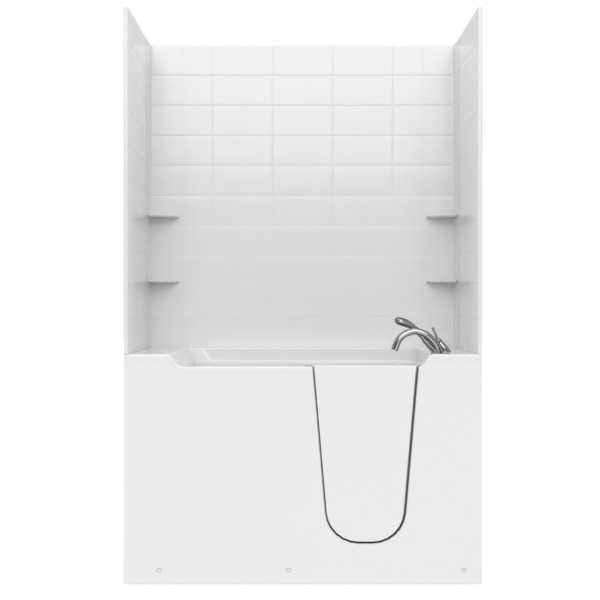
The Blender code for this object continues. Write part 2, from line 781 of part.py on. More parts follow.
def make_front_panel():
    """The skirt: a skin with returned edges, three screw bosses and the doorway cut out."""
    panel_back = FRONT + PANEL_RETURN
    top_drop = FRONT_LIP + SEAT_GAP
    skin = PANEL_THICKNESS
    panel = front_plate(part, "front_panel", below_rim(PANEL_LIFT, top_drop), FRONT, panel_back, "acrylic")
    pocket = front_plate(
        tool, "panel_pocket", below_rim(PANEL_LIFT + skin, top_drop + skin, skin),
        FRONT + skin, panel_back + CUT_PAST
    )
    edge = PANEL_DOOR_EDGE + skin
    door_edge = front_plate(
        tool, "panel_door_edge", doorway_outline(DECK_HEIGHT, edge, edge, edge),
        FRONT, panel_back + 2 * CUT_PAST
    )
    cut(pocket, door_edge)
    doorway = front_plate(
        tool, "panel_doorway", doorway_outline(
            DECK_HEIGHT, PANEL_DOOR_EDGE, PANEL_DOOR_EDGE, PANEL_DOOR_EDGE
        ), FRONT - CUT_PAST, panel_back + CUT_PAST
    )
    mid_skin = FRONT + skin / 2
    boss_back = RAIL_FRONT_Y - TUBE_SIZE / 2 - SEAT_GAP
    bosses = tool("panel_bosses", cylinders_mesh("panel_bosses", [
        ((x, mid_skin, SCREW_HEIGHT), (x, boss_back, SCREW_HEIGHT)) for x in SCREWS.values()
    ], BOSS_RADIUS, FINE_STEPS))
    recesses = tool("panel_recesses", cylinders_mesh("panel_recesses", [
        ((x, FRONT - CUT_PAST, SCREW_HEIGHT), (x, FRONT + RECESS_DEPTH, SCREW_HEIGHT))
        for x in SCREWS.values()
    ], RECESS_RADIUS, FINE_STEPS))
    holes = tool("panel_holes", cylinders_mesh("panel_holes", [
        ((x, FRONT, SCREW_HEIGHT), (x, panel_back + CUT_PAST, SCREW_HEIGHT)) for x in SCREWS.values()
    ], bore(SCREW_RADIUS, SMALL_STEPS), SMALL_STEPS))
    cut(panel, pocket, doorway)
    join(panel, bosses)
    cut(panel, recesses, holes)


def make_panel_screws():
    """Round-headed screws through the skirt's bosses into the front rail."""
    head = SCREW_HEAD_HEIGHT
    profile = (
        (0, head),
        (SCREW_HEAD_RADIUS / 2, head),
        (SCREW_HEAD_RADIUS, head / 2),
        (SCREW_HEAD_RADIUS, 0),
        (SCREW_RADIUS, 0),
        (SCREW_RADIUS, SCREW_RADIUS - SCREW_LENGTH),
        (0, -SCREW_LENGTH),
    )
    for side, x in SCREWS.items():
        screw = turned(part, "panel_screw_" + side, profile, "steel", steps=SMALL_STEPS)
        screw.rotation_euler = (math.radians(90), 0, 0)
        screw.location = (x, FRONT + RECESS_DEPTH - SEAT_GAP, SCREW_HEIGHT)


def square_tube(name, start, end, across=(TUBE_SIZE, TUBE_SIZE)):
    """A hollow box section between the centres of its two ends, along X, Y or Z."""
    start, end = Vector(start), Vector(end)
    along = (end - start).normalized()
    wide, tall = across
    if abs(along.z) > 0:
        half = Vector((wide / 2, tall / 2, 0))
    elif abs(along.x) > 0:
        half = Vector((0, wide / 2, tall / 2))
    else:
        half = Vector((wide / 2, 0, tall / 2))
    wall = Vector([TUBE_WALL if side > 0 else 0 for side in half])
    tube = part(name, box_mesh(name, start - half, end + half), "zinc")
    inside = tool(name + "_bore", box_mesh(
        name + "_bore", start - half + wall - along * CUT_PAST, end + half - wall + along * CUT_PAST
    ))
    cut(tube, inside)
    return tube


def make_base_frame():
    """Two long rails on feet, three cross rails under the shell, and posts up to the deck and the seat."""
    rail_z = RAIL_BOTTOM + TUBE_SIZE / 2
    rail_end = RIGHT - RAIL_END_IN
    foot_xs = (-RIGHT + FOOT_END_IN, 0, RIGHT - FOOT_END_IN)
    screw_spans = [((x, FRONT, rail_z), (x, RAIL_FRONT_Y, rail_z)) for x in SCREWS.values()]
    screw_holes = tool("rail_screw_holes", cylinders_mesh(
        "rail_screw_holes", screw_spans, bore(SCREW_RADIUS, SMALL_STEPS), SMALL_STEPS
    ))
    for side, y in (("front", RAIL_FRONT_Y), ("back", RAIL_BACK_Y)):
        rail = square_tube("base_rail_" + side, (-rail_end, y, rail_z), (rail_end, y, rail_z))
        stud_spans = [((x, y, 0), (x, y, rail_z)) for x in foot_xs]
        cut(rail, tool("stud_holes_" + side, cylinders_mesh(
            "stud_holes_" + side, stud_spans, bore(FOOT_STUD_RADIUS), ROUND_STEPS
        )))
        if side == "front":
            cut(rail, screw_holes)
        for place, x in zip(("left", "middle", "right"), foot_xs):
            make_foot("foot_" + side + "_" + place, x, y)

    cross_z = (CROSS_BOTTOM + CROSS_TOP) / 2
    cross_size = (TUBE_SIZE, CROSS_TOP - CROSS_BOTTOM)
    cross_xs = {
        "left": LEFT + CROSS_LEFT_IN,
        "middle": WELL_LEFT + WELL_RISER_LEAN + CROSS_WELL_IN,
        "right": BASIN_RIGHT_LOWER - CROSS_WELL_IN,
    }
    front_end, back_end = RAIL_FRONT_Y - TUBE_SIZE / 2, RAIL_BACK_Y + TUBE_SIZE / 2
    for side, x in cross_xs.items():
        square_tube("cross_rail_" + side, (x, front_end, cross_z), (x, back_end, cross_z), cross_size)

    deck_under = DECK_HEIGHT - SKIN - SEAT_GAP
    for side, sign in (("left", -1), ("right", 1)):
        x = sign * (RIGHT - POST_END_IN)
        for place, y in (("front", RAIL_FRONT_Y), ("back", RAIL_BACK_Y)):
            name = "corner_post_" + side + "_" + place
            square_tube(name, (x, y, RAIL_TOP + SEAT_GAP), (x, y, deck_under))
    seat_under = SEAT_HEIGHT - SKIN - SEAT_GAP
    seat_front, seat_back = BASIN_FRONT + SEAT_POST_IN, BASIN_BACK_LOWER - SEAT_POST_IN
    for place, y in (("front", seat_front), ("back", seat_back)):
        x = cross_xs["left"]
        square_tube("seat_post_" + place, (x, y, CROSS_TOP + SEAT_GAP), (x, y, seat_under))


def make_foot(name, x, y):
    """A levelling foot: pad, neck and lock nut, with the stud screwed up into the rail."""
    nut_top = RAIL_BOTTOM - SEAT_GAP
    profile = (
        (0, RAIL_BOTTOM + FOOT_STUD_ABOVE),
        (FOOT_STUD_RADIUS, RAIL_BOTTOM + FOOT_STUD_ABOVE),
        (FOOT_STUD_RADIUS, FOOT_PAD_HEIGHT + FOOT_NECK_RADIUS),
        (FOOT_NECK_RADIUS, FOOT_PAD_HEIGHT + FOOT_ROUND),
        (FOOT_RADIUS - FOOT_ROUND, FOOT_PAD_HEIGHT),
        (FOOT_RADIUS, FOOT_PAD_HEIGHT - FOOT_ROUND),
        (FOOT_RADIUS, 0),
        (0, 0),
    )
    foot = turned(part, name, profile, "black_plastic")
    foot.location = (x, y, 0)
    nut = tool(name + "_nut", cylinder_mesh(
        name + "_nut", (x, y, nut_top - FOOT_NUT_HEIGHT), (x, y, nut_top), FOOT_NUT_RADIUS, 6
    ))
    join(foot, nut)


def make_door_frame():
    """The steel U: a liner through the wall, a flange on the wet side, and the hinge lugs."""
    frame = front_plate(
        part, "door_frame", doorway_outline(RIM_HEIGHT, FRAME_OUTER, FRAME_OUTER, FRAME_OUTER),
        FRONT, (FRAME_FLANGE_FRONT + FRAME_FLANGE_BACK) / 2, "steel"
    )
    flange = front_plate(
        tool, "frame_flange", doorway_outline(
            FLANGE_TOP, FRAME_OUTER + FRAME_FLANGE_WIDTH, FRAME_OUTER + FRAME_FLANGE_WIDTH_HINGE,
            FRAME_OUTER + FRAME_FLANGE_WIDTH
        ), FRAME_FLANGE_FRONT, FRAME_FLANGE_BACK
    )
    inside = front_plate(
        tool, "frame_bore", doorway_outline(DECK_HEIGHT, FRAME_INNER, FRAME_INNER, FRAME_INNER),
        FRONT - CUT_PAST, FRAME_FLANGE_BACK + CUT_PAST
    )
    join(frame, flange)
    cut(frame, inside)
    for side, height in HINGE_HEIGHTS.items():
        leaf_edge = DOOR_X + doorway_half(height + KNUCKLE_HEIGHT, LEAF_FLANGE_WIDTH_HINGE + FRAME_INNER)
        reach = KNUCKLE_HEIGHT / 2 + KNUCKLE_PLAY
        far = reach + LUG_HEIGHT
        near_side, far_side = leaf_edge + LUG_CLEAR, HINGE_X + KNUCKLE_RADIUS
        lugs = tool("hinge_lugs_" + side, boxes_mesh("hinge_lugs_" + side, [
            ((near_side, FRAME_FLANGE_FRONT, low), (far_side, HINGE_Y + KNUCKLE_RADIUS, high))
            for low, high in ((height + reach, height + far), (height - far, height - reach))
        ]))
        hole = tool("hinge_hole_" + side, cylinder_mesh(
            "hinge_hole_" + side, (HINGE_X, HINGE_Y, height - KNUCKLE_HEIGHT),
            (HINGE_X, HINGE_Y, height + KNUCKLE_HEIGHT), bore(PIN_RADIUS, SMALL_STEPS), SMALL_STEPS
        ))
        cut(lugs, hole)
        join(frame, lugs)


def make_hinge_pins():
    """Headed pins down through the lugs and knuckles."""
    reach = KNUCKLE_HEIGHT / 2 + KNUCKLE_PLAY + LUG_HEIGHT
    profile = (
        (0, reach + PIN_HEAD_HEIGHT),
        (PIN_HEAD_RADIUS / 2, reach + PIN_HEAD_HEIGHT),
        (PIN_HEAD_RADIUS, reach + PIN_HEAD_HEIGHT / 2),
        (PIN_HEAD_RADIUS, reach + SEAT_GAP),
        (PIN_RADIUS, reach + SEAT_GAP),
        (PIN_RADIUS, -reach - PIN_HEAD_HEIGHT / 2),
        (PIN_RADIUS / 2, -reach - PIN_HEAD_HEIGHT),
        (0, -reach - PIN_HEAD_HEIGHT),
    )
    for side, height in HINGE_HEIGHTS.items():
        pin = turned(part, "hinge_pin_" + side, profile, "steel", steps=SMALL_STEPS)
        pin.location = (HINGE_X, HINGE_Y, height)


def leaf_ring(gap_less, y):
    """The plug's outline at a depth, as points in space."""
    outline = doorway_outline(
        FLANGE_TOP, FRAME_INNER - LEAF_GAP_LATCH + gap_less, FRAME_INNER - LEAF_GAP_HINGE + gap_less,
        FRAME_INNER - LEAF_GAP_BOTTOM + gap_less
    )
    return [(x, y, z) for x, z in outline]


def make_door_leaf(door):
    """A plug that narrows towards the front, on a wider flange that closes against the gasket."""
    plug_rings = [leaf_ring(0, FRONT), leaf_ring(LEAF_DRAFT, (LEAF_FLANGE_FRONT + LEAF_BACK) / 2)]

    def top_arris(co):
        return co.z > FLANGE_TOP - WELD_DISTANCE and co.y < FRONT + WELD_DISTANCE

    leaf = part("door_leaf", loft_mesh("door_leaf", plug_rings), "acrylic")
    keep_place(leaf, door)
    round_edges(leaf, LEAF_TOP_ROUND, top_arris, 3)
    flange = front_plate(
        tool, "leaf_flange", doorway_outline(
            FLANGE_TOP, FRAME_INNER + LEAF_FLANGE_WIDTH, FRAME_INNER + LEAF_FLANGE_WIDTH_HINGE,
            FRAME_INNER + LEAF_FLANGE_WIDTH
        ), LEAF_FLANGE_FRONT, LEAF_BACK
    )
    join(leaf, flange)


def make_gasket(door):
    """The seal on the leaf's flange, a U open at the top."""
    near, far = FRAME_INNER + GASKET_INSET, FRAME_INNER + GASKET_INSET + GASKET_WIDTH
    gasket = front_plate(
        part, "door_gasket", doorway_outline(FLANGE_TOP, far, far, far), GASKET_FRONT, GASKET_BACK, "rubber"
    )
    keep_place(gasket, door)
    inside = front_plate(
        tool, "gasket_bore", doorway_outline(DECK_HEIGHT, near, near, near),
        GASKET_FRONT - CUT_PAST, GASKET_BACK + CUT_PAST
    )
    cut(gasket, inside)


def make_hinge_arms(door):
    """The door's half of each hinge: a strap on the leaf with a knuckle between the frame's lugs."""
    for side, height in HINGE_HEIGHTS.items():
        low, high = height - KNUCKLE_HEIGHT / 2, height + KNUCKLE_HEIGHT / 2
        leaf_edge = DOOR_X + doorway_half(height - KNUCKLE_HEIGHT, LEAF_FLANGE_WIDTH_HINGE + FRAME_INNER)
        arm = part("hinge_arm_" + side, box_mesh(
            "hinge_arm_" + side, (leaf_edge - ARM_LENGTH, ARM_FRONT, low), (HINGE_X, ARM_BACK, high)
        ), "steel")
        keep_place(arm, door)
        knuckle = tool("knuckle_" + side, cylinder_mesh(
            "knuckle_" + side, (HINGE_X, HINGE_Y, low), (HINGE_X, HINGE_Y, high), KNUCKLE_RADIUS
        ))
        hole = tool("knuckle_hole_" + side, cylinder_mesh(
            "knuckle_hole_" + side, (HINGE_X, HINGE_Y, low - CUT_PAST), (HINGE_X, HINGE_Y, high + CUT_PAST),
            bore(PIN_RADIUS, SMALL_STEPS), SMALL_STEPS
        ))
        join(arm, knuckle)
        cut(arm, hole)


def make_latch(door):
    """The latch on the leaf's free edge: housing, sliding bolt and a lever, with the keeper on the wall."""
    edge = DOOR_X - doorway_half(LATCH_HEIGHT, FRAME_INNER + LEAF_FLANGE_WIDTH)
    left = edge + LATCH_INSET
    front, back = LEAF_BACK + SEAT_GAP, LEAF_BACK + SEAT_GAP + LATCH_DEEP
    low, high = LATCH_HEIGHT - LATCH_TALL / 2, LATCH_HEIGHT + LATCH_TALL / 2
    housing = part("latch_housing", box_mesh(
        "latch_housing", (left, front, low), (left + LATCH_LENGTH, back, high)
    ), "chrome")
    keep_place(housing, door)
    round_all(housing, LATCH_ROUND)
    bolt_front = front + BOLT_DEEP
    bolt_middle = bolt_front + BOLT_THICK / 2
    bolt_low = LATCH_HEIGHT - BOLT_TALL / 2
    play = Vector((0, BOLT_PLAY, BOLT_PLAY))
    bolt_corners = (
        Vector((edge, bolt_front, bolt_low)),
        Vector((edge + BOLT_LENGTH, bolt_front + BOLT_THICK, bolt_low + BOLT_TALL)),
    )
    channel = tool("latch_channel", box_mesh(
        "latch_channel", bolt_corners[0] - play - Vector((CUT_PAST, 0, 0)),
        bolt_corners[1] + play + Vector((BOLT_PLAY, 0, 0))
    ))
    cut(housing, channel)

    slide = axis_empty("latch_bolt_axis", (edge - HINGE_X, bolt_middle - HINGE_Y, LATCH_HEIGHT), parent=door)
    half = Vector((0, BOLT_THICK / 2, BOLT_TALL / 2))
    length = Vector((BOLT_LENGTH, 0, 0))
    bolt = part("latch_bolt", box_mesh("latch_bolt", -half, half + length), "steel", slide)
    round_all(bolt, BOLT_PLAY, 1)

    pivot_x, pivot_y = left + LATCH_LENGTH / 2, back + SEAT_GAP
    pivot = axis_empty("latch_lever_axis", (pivot_x - HINGE_X, pivot_y - HINGE_Y, LATCH_HEIGHT), parent=door)
    lever = turned(part, "latch_lever", (
        (0, LEVER_HUB_THICK),
        (LEVER_HUB_RADIUS - LATCH_ROUND, LEVER_HUB_THICK),
        (LEVER_HUB_RADIUS, LEVER_HUB_THICK - LATCH_ROUND),
        (LEVER_HUB_RADIUS, 0),
        (0, 0),
    ), "chrome", parent=pivot)
    lever.rotation_euler = (math.radians(-90), 0, 0)
    arm_low = LEVER_HUB_THICK - LEVER_ARM_THICK - LATCH_ROUND / 2
    half_width = LEVER_ARM_WIDTH / 2
    tip = -LEVER_ARM_LENGTH
    outline = rounded_outline(
        ((-half_width, 0), (half_width, 0), (half_width, tip), (-half_width, tip)),
        (0, 0, half_width - BOLT_PLAY, half_width - BOLT_PLAY)
    )
    arm = tool("latch_lever_arm", plate_mesh("latch_lever_arm", outline, LEVER_ARM_THICK), lever)
    arm.location = (0, 0, arm_low + LEVER_ARM_THICK / 2)
    round_all(arm, LATCH_ROUND / 2)
    join(lever, arm)

    flange_edge = doorway_half(LATCH_HEIGHT + KEEPER_TALL, FRAME_OUTER + FRAME_FLANGE_WIDTH)
    keeper_right = DOOR_X - flange_edge - SEAT_GAP
    keeper_back = bolt_front + BOLT_THICK + BOLT_PLAY + KEEPER_WALL
    keeper_low, keeper_high = LATCH_HEIGHT - KEEPER_TALL / 2, LATCH_HEIGHT + KEEPER_TALL / 2
    keeper = part("latch_keeper", box_mesh(
        "latch_keeper", (keeper_right - KEEPER_LENGTH, BASIN_FRONT + SEAT_GAP, keeper_low),
        (keeper_right, keeper_back, keeper_high)
    ), "steel")
    round_all(keeper, LATCH_ROUND)
    thrown = Vector((BOLT_TRAVEL + KEEPER_CLEAR, 0, 0))
    pocket = tool("keeper_pocket", box_mesh(
        "keeper_pocket", bolt_corners[0] - 2 * play - thrown, bolt_corners[1] + 2 * play
    ))
    cut(keeper, pocket)


def make_drain():
    """The waste in the footwell floor, its lift-up plug and the tee under it."""
    floor_under = WELL_FLOOR - SKIN
    top = WELL_FLOOR + SEAT_GAP + DRAIN_FLANGE_HEIGHT
    tail_bottom = floor_under - DRAIN_TAIL_LENGTH
    flange = turned(part, "drain_flange", (
        (DRAIN_BORE_RADIUS, top),
        (DRAIN_FLANGE_RADIUS - DRAIN_FLANGE_HEIGHT, top),
        (DRAIN_FLANGE_RADIUS, WELL_FLOOR + SEAT_GAP),
        (DRAIN_TAIL_RADIUS, WELL_FLOOR + SEAT_GAP),
        (DRAIN_TAIL_RADIUS, tail_bottom),
        (DRAIN_BORE_RADIUS, tail_bottom),
    ), "chrome", steps=FINE_STEPS, closed=True)
    flange.location = (DRAIN_X, DRAIN_BACK, 0)

    plug_axis = axis_empty("drain_plug_axis", (DRAIN_X, DRAIN_BACK, top + SEAT_GAP))
    turned(part, "drain_plug", (
        (0, PLUG_HEIGHT),
        (PLUG_RADIUS / 2, PLUG_HEIGHT),
        (PLUG_RADIUS, PLUG_HEIGHT / 2),
        (PLUG_RADIUS, 0),
        (PLUG_STEM_RADIUS, 0),
        (PLUG_STEM_RADIUS, -PLUG_STEM_LENGTH),
        (0, -PLUG_STEM_LENGTH),
    ), "chrome", steps=FINE_STEPS, parent=plug_axis)

    tee_top = floor_under - SEAT_GAP
    tee = turned(part, "drain_tee", (
        (0, tee_top),
        (TEE_RADIUS, tee_top),
        (TEE_RADIUS, TEE_BOTTOM),
        (0, TEE_BOTTOM),
    ), "pipe", steps=FINE_STEPS)
    tee.location = (DRAIN_X, DRAIN_BACK, 0)
    branch_end = DRAIN_BACK + TEE_BRANCH_LENGTH
    branch = tool("tee_branch", cylinder_mesh(
        "tee_branch", (DRAIN_X, DRAIN_BACK, TEE_BRANCH_HEIGHT), (DRAIN_X, branch_end, TEE_BRANCH_HEIGHT),
        TEE_BRANCH_RADIUS
    ))
    inside = tool("tee_bore", cylinder_mesh(
        "tee_bore", (DRAIN_X, DRAIN_BACK, TEE_BOTTOM - CUT_PAST), (DRAIN_X, DRAIN_BACK, tee_top + CUT_PAST),
        bore(DRAIN_TAIL_RADIUS, FINE_STEPS), FINE_STEPS
    ))
    branch_bore = tool("tee_branch_bore", cylinder_mesh(
        "tee_branch_bore", (DRAIN_X, DRAIN_BACK, TEE_BRANCH_HEIGHT),
        (DRAIN_X, branch_end + CUT_PAST, TEE_BRANCH_HEIGHT), bore(PIPE_RADIUS)
    ))
    join(tee, branch)
    cut(tee, inside, branch_bore)


def make_overflow():
    """The overflow plate with its turning knob, and the pipe down behind the basin to the tee."""
    wall = BASIN_BACK_LOWER
    plate = turned(part, "overflow_plate", (
        (bore(KNOB_STEM_RADIUS, FINE_STEPS), OVERFLOW_PLATE_THICK),
        (OVERFLOW_PLATE_RADIUS - OVERFLOW_PLATE_THICK / 2, OVERFLOW_PLATE_THICK),
        (OVERFLOW_PLATE_RADIUS, OVERFLOW_PLATE_THICK / 2),
        (OVERFLOW_PLATE_RADIUS, 0),
        (OVERFLOW_TAIL_RADIUS, 0),
        (OVERFLOW_TAIL_RADIUS, -SKIN - SEAT_GAP),
        (bore(KNOB_STEM_RADIUS, FINE_STEPS), -SKIN - SEAT_GAP),
    ), "chrome", steps=FINE_STEPS, closed=True)
    plate.rotation_euler = (math.radians(90), 0, 0)
    plate.location = (DRAIN_X, wall - SEAT_GAP, OVERFLOW_HEIGHT)

    knob_axis = axis_empty(
        "overflow_knob_axis", (DRAIN_X, wall - 2 * SEAT_GAP - OVERFLOW_PLATE_THICK, OVERFLOW_HEIGHT),
        (math.radians(90), 0, 0)
    )
    knob = turned(part, "overflow_knob", (
        (0, KNOB_DEEP / 2),
        (KNOB_RADIUS - KNOB_DEEP / 4, KNOB_DEEP / 2),
        (KNOB_RADIUS, KNOB_DEEP / 4),
        (KNOB_RADIUS, 0),
        (KNOB_STEM_RADIUS, 0),
        (KNOB_STEM_RADIUS, -OVERFLOW_PLATE_THICK - SKIN),
        (0, -OVERFLOW_PLATE_THICK - SKIN),
    ), "chrome", steps=FINE_STEPS, parent=knob_axis)
    half_grip = KNOB_GRIP_WIDTH / 2
    reach = KNOB_RADIUS - KNOB_DEEP / 4
    grip = tool("knob_grip", box_mesh(
        "knob_grip", (-half_grip, -reach, KNOB_DEEP / 4), (half_grip, reach, KNOB_DEEP)
    ), knob)
    round_all(grip, KNOB_GRIP_WIDTH / 4)
    join(knob, grip)

    start_y = wall + SKIN + SEAT_GAP
    down_y = wall + SKIN + PIPE_OFF_WALL
    end_y = DRAIN_BACK + TEE_RADIUS + SEAT_GAP
    cap_top = OVERFLOW_HEIGHT + PIPE_RADIUS
    corners = ((down_y, cap_top), (down_y, TEE_BRANCH_HEIGHT), (end_y, TEE_BRANCH_HEIGHT))
    bend = rounded_outline((*corners, corners[0]), (0, PIPE_BEND, 0, 0))[:-1]
    path = [Vector((DRAIN_X, y, z)) for y, z in bend]
    outside = tube_curve("overflow_pipe", path, PIPE_RADIUS)
    pipe = part("overflow_pipe", solid_from_curve("overflow_pipe", outside), "pipe")
    smooth(pipe.data)
    start, end = (DRAIN_X, start_y, OVERFLOW_HEIGHT), (DRAIN_X, down_y, OVERFLOW_HEIGHT)
    elbow = tool("overflow_elbow", cylinder_mesh("overflow_elbow", start, end, PIPE_RADIUS - PIPE_WALL))
    bore_path = [path[0] - Vector((0, 0, PIPE_WALL)), *path[1:-1], path[-1] - Vector((0, CUT_PAST, 0))]
    bore_curve = tube_curve("pipe_bore", bore_path, PIPE_RADIUS - PIPE_WALL)
    inside = tool("pipe_bore", solid_from_curve("pipe_bore", bore_curve))
    elbow_bore = tool("overflow_elbow_bore", cylinder_mesh(
        "overflow_elbow_bore", (DRAIN_X, start_y - CUT_PAST, OVERFLOW_HEIGHT), end,
        PIPE_RADIUS - 2 * PIPE_WALL
    ))
    join(pipe, elbow)
    cut(pipe, inside, elbow_bore)


def deck_trim(name):
    """Everything below the deck's top, to trim a leaning body flat where it stands on the deck."""
    return tool(name, box_mesh(
        name, (BASIN_RIGHT, FRONT, DECK_HEIGHT - RIM_DROP - CUT_PAST), (RIGHT, BACK, DECK_HEIGHT + SEAT_GAP)
    ))


def add_shank(obj, fitting):
    """Trims the fitting flat on the deck, with a shank through the deck and a nut under it."""
    x, y = DECK_FITTINGS[fitting]
    shank = tool(fitting + "_shank", cylinder_mesh(
        fitting + "_shank", (x, y, DECK_HEIGHT - SHANK_BELOW), (x, y, DECK_HEIGHT + SHANK_RADIUS),
        SHANK_RADIUS, SMALL_STEPS
    ))
    cut(obj, deck_trim(fitting + "_trim"))
    join(obj, shank)
    nut_top = DECK_HEIGHT - SKIN - SEAT_GAP
    nut = part(fitting + "_nut", cylinder_mesh(
        fitting + "_nut", (x, y, nut_top - NUT_HEIGHT), (x, y, nut_top), NUT_RADIUS, 6
    ), "zinc")
    cut(nut, tool(fitting + "_nut_hole", cylinder_mesh(
        fitting + "_nut_hole", (x, y, nut_top - CUT_PAST), (x, y, nut_top + CUT_PAST),
        bore(SHANK_RADIUS, SMALL_STEPS), SMALL_STEPS
    )))


def make_spout():
    """The arched spout, trimmed on the deck, with the aerator let into its mouth."""
    x, y = DECK_FITTINGS["spout"]
    places = [
        (x - SPOUT_REACH * across, y, DECK_HEIGHT + SPOUT_HEIGHT * up) for across, up in SPOUT_PATH_shares
    ]
    path = [Vector(point) for point in smooth_path(places, PATH_STEPS)]
    root = path[0] - (path[1] - path[0]).normalized() * SPOUT_RADIUS
    path = [root, *path[1:]]
    spout = part("spout", solid_from_curve("spout", tube_curve("spout", path, SPOUT_RADIUS, 4)), "chrome")
    smooth(spout.data)
    out = (path[-1] - path[-2]).normalized()
    mouth = tool("spout_mouth", cylinder_mesh(
        "spout_mouth", path[-1] - out * AERATOR_LENGTH, path[-1] + out * CUT_PAST, bore(AERATOR_RADIUS)
    ))
    add_shank(spout, "spout")
    cut(spout, mouth)
    aerator = turned(part, "spout_aerator", (
        (0, 0),
        (AERATOR_RADIUS, 0),
        (AERATOR_RADIUS, SEAT_GAP - AERATOR_LENGTH - AERATOR_STAND),
        (AERATOR_BORE_RADIUS, SEAT_GAP - AERATOR_LENGTH - AERATOR_STAND),
        (AERATOR_BORE_RADIUS, -AERATOR_LENGTH / 2),
        (0, -AERATOR_LENGTH / 2),
    ), "steel")
    aerator.location = path[-1] - out * (AERATOR_LENGTH - SEAT_GAP)
    aerator.rotation_euler = (-out).to_track_quat("Z", "Y").to_euler()


def make_handset():
    """The hand shower: a leaning holder on the deck and the handset that stands in it."""
    x, y = DECK_FITTINGS["holder"]
    lean = axis_empty("handset_axis", (x, y, DECK_HEIGHT), (0, -HOLDER_TILT, 0))
    hole = bore(HANDLE_RADIUS, FINE_STEPS, HANDSET_PLAY)
    floor = HOLDER_LENGTH - HOLDER_BORE_DEPTH
    holder = turned(part, "handset_holder", (
        (0, floor),
        (hole, floor),
        (hole, HOLDER_LENGTH),
        (HOLDER_TOP_RADIUS, HOLDER_LENGTH),
        (HOLDER_TOP_RADIUS, HOLDER_LENGTH - HOLDER_TOP_RADIUS / 2),
        (HOLDER_BASE_RADIUS, HOLDER_BASE_RADIUS),
        (HOLDER_BASE_RADIUS, -HOLDER_BASE_RADIUS),
        (0, -HOLDER_BASE_RADIUS),
    ), "chrome", steps=FINE_STEPS, parent=lean)
    add_shank(holder, "holder")

    # Each section: how far along the handset as a share, then half its thickness and half its width
    start = floor + SEAT_GAP
    swell = HANDLE_RADIUS * SWELL_SHARE
    sections = (
        (0, HANDLE_RADIUS, HANDLE_RADIUS),
        (HOLDER_SHARE, HANDLE_RADIUS, HANDLE_RADIUS),
        (SWELL_PLACE_SHARE, swell, swell),
        *(
            (along, HEAD_HALF_THICK * thick, HEAD_HALF_WIDTH * wide)
            for along, thick, wide in HEAD_SECTION_shares
        ),
    )
    rings = []
    for share, thick, wide in sections:
        along = start + (HANDLE_REACH - start) * share
        past = along - HANDLE_STRAIGHT
        turn = HEAD_BEND * min(max(past / HEAD_HALF_WIDTH + 1, 0) / 2, 1)
        centre = Vector((0, 0, min(along, HANDLE_STRAIGHT)))
        if past > 0:
            centre += Vector((-math.sin(HEAD_BEND), 0, math.cos(HEAD_BEND))) * past
        across = Vector((math.cos(turn), 0, math.sin(turn)))
        rings.append([
            tuple(centre + across * (thick * math.cos(angle)) + Vector((0, wide * math.sin(angle), 0)))
            for angle in (math.tau * step / ROUND_STEPS for step in range(ROUND_STEPS))
        ])
    part("handset", smooth(loft_mesh("handset", rings)), "chrome", lean)


def make_valve():
    """The mixer: a leaning body, a cap that swivels on it and a stick lever that tilts in the cap."""
    x, y = DECK_FITTINGS["valve"]
    lean = axis_empty("valve_axis", (x, y, DECK_HEIGHT), (0, -VALVE_TILT, 0))
    body = turned(part, "valve_body", (
        (0, VALVE_LENGTH),
        (VALVE_TOP_RADIUS, VALVE_LENGTH),
        (VALVE_BASE_RADIUS, VALVE_BASE_RADIUS),
        (VALVE_BASE_RADIUS, -VALVE_BASE_RADIUS),
        (0, -VALVE_BASE_RADIUS),
    ), "chrome", steps=FINE_STEPS, parent=lean)
    add_shank(body, "valve")

    cap_axis = axis_empty("valve_cap_axis", (0, 0, VALVE_LENGTH + SEAT_GAP), parent=lean)
    cap = turned(part, "valve_cap", (
        *((VALVE_CAP_RADIUS * wide, VALVE_CAP_HEIGHT * tall) for wide, tall in VALVE_CAP_PROFILE_shares),
        (VALVE_CAP_RADIUS, 0),
        (0, 0),
    ), "chrome", steps=FINE_STEPS, parent=cap_axis)
    pivot_z = VALVE_CAP_HEIGHT * VALVE_PIVOT_SHARE
    half_slot = VALVE_LEVER_RADIUS + VALVE_LEVER_PLAY
    reach = VALVE_CAP_RADIUS * VALVE_SLOT_SHARE
    slot = tool("valve_slot", box_mesh(
        "valve_slot", (-reach, -half_slot, pivot_z - VALVE_ROOT_RADIUS - VALVE_LEVER_PLAY),
        (reach, half_slot, VALVE_CAP_HEIGHT + CUT_PAST)
    ), cap)
    cut(cap, slot)

    lever_axis = axis_empty("valve_lever_axis", (0, 0, pivot_z), parent=cap_axis)
    lever = turned(part, "valve_lever", (
        (0, VALVE_LEVER_LENGTH),
        (VALVE_LEVER_TIP_RADIUS, VALVE_LEVER_LENGTH),
        (VALVE_LEVER_TIP_RADIUS, VALVE_LEVER_LENGTH - VALVE_LEVER_TIP_RADIUS / 2),
        (VALVE_LEVER_RADIUS, VALVE_LEVER_LENGTH - 3 * VALVE_LEVER_TIP_RADIUS),
        (VALVE_LEVER_RADIUS, 0),
        (0, 0),
    ), "chrome", steps=SMALL_STEPS, parent=lever_axis)
    lever.rotation_euler = (0, VALVE_LEVER_LEAN, 0)
    root = tool("lever_root", cylinder_mesh(
        "lever_root", (0, -VALVE_LEVER_RADIUS, 0), (0, VALVE_LEVER_RADIUS, 0), VALVE_ROOT_RADIUS
    ), lever)
    join(lever, root)


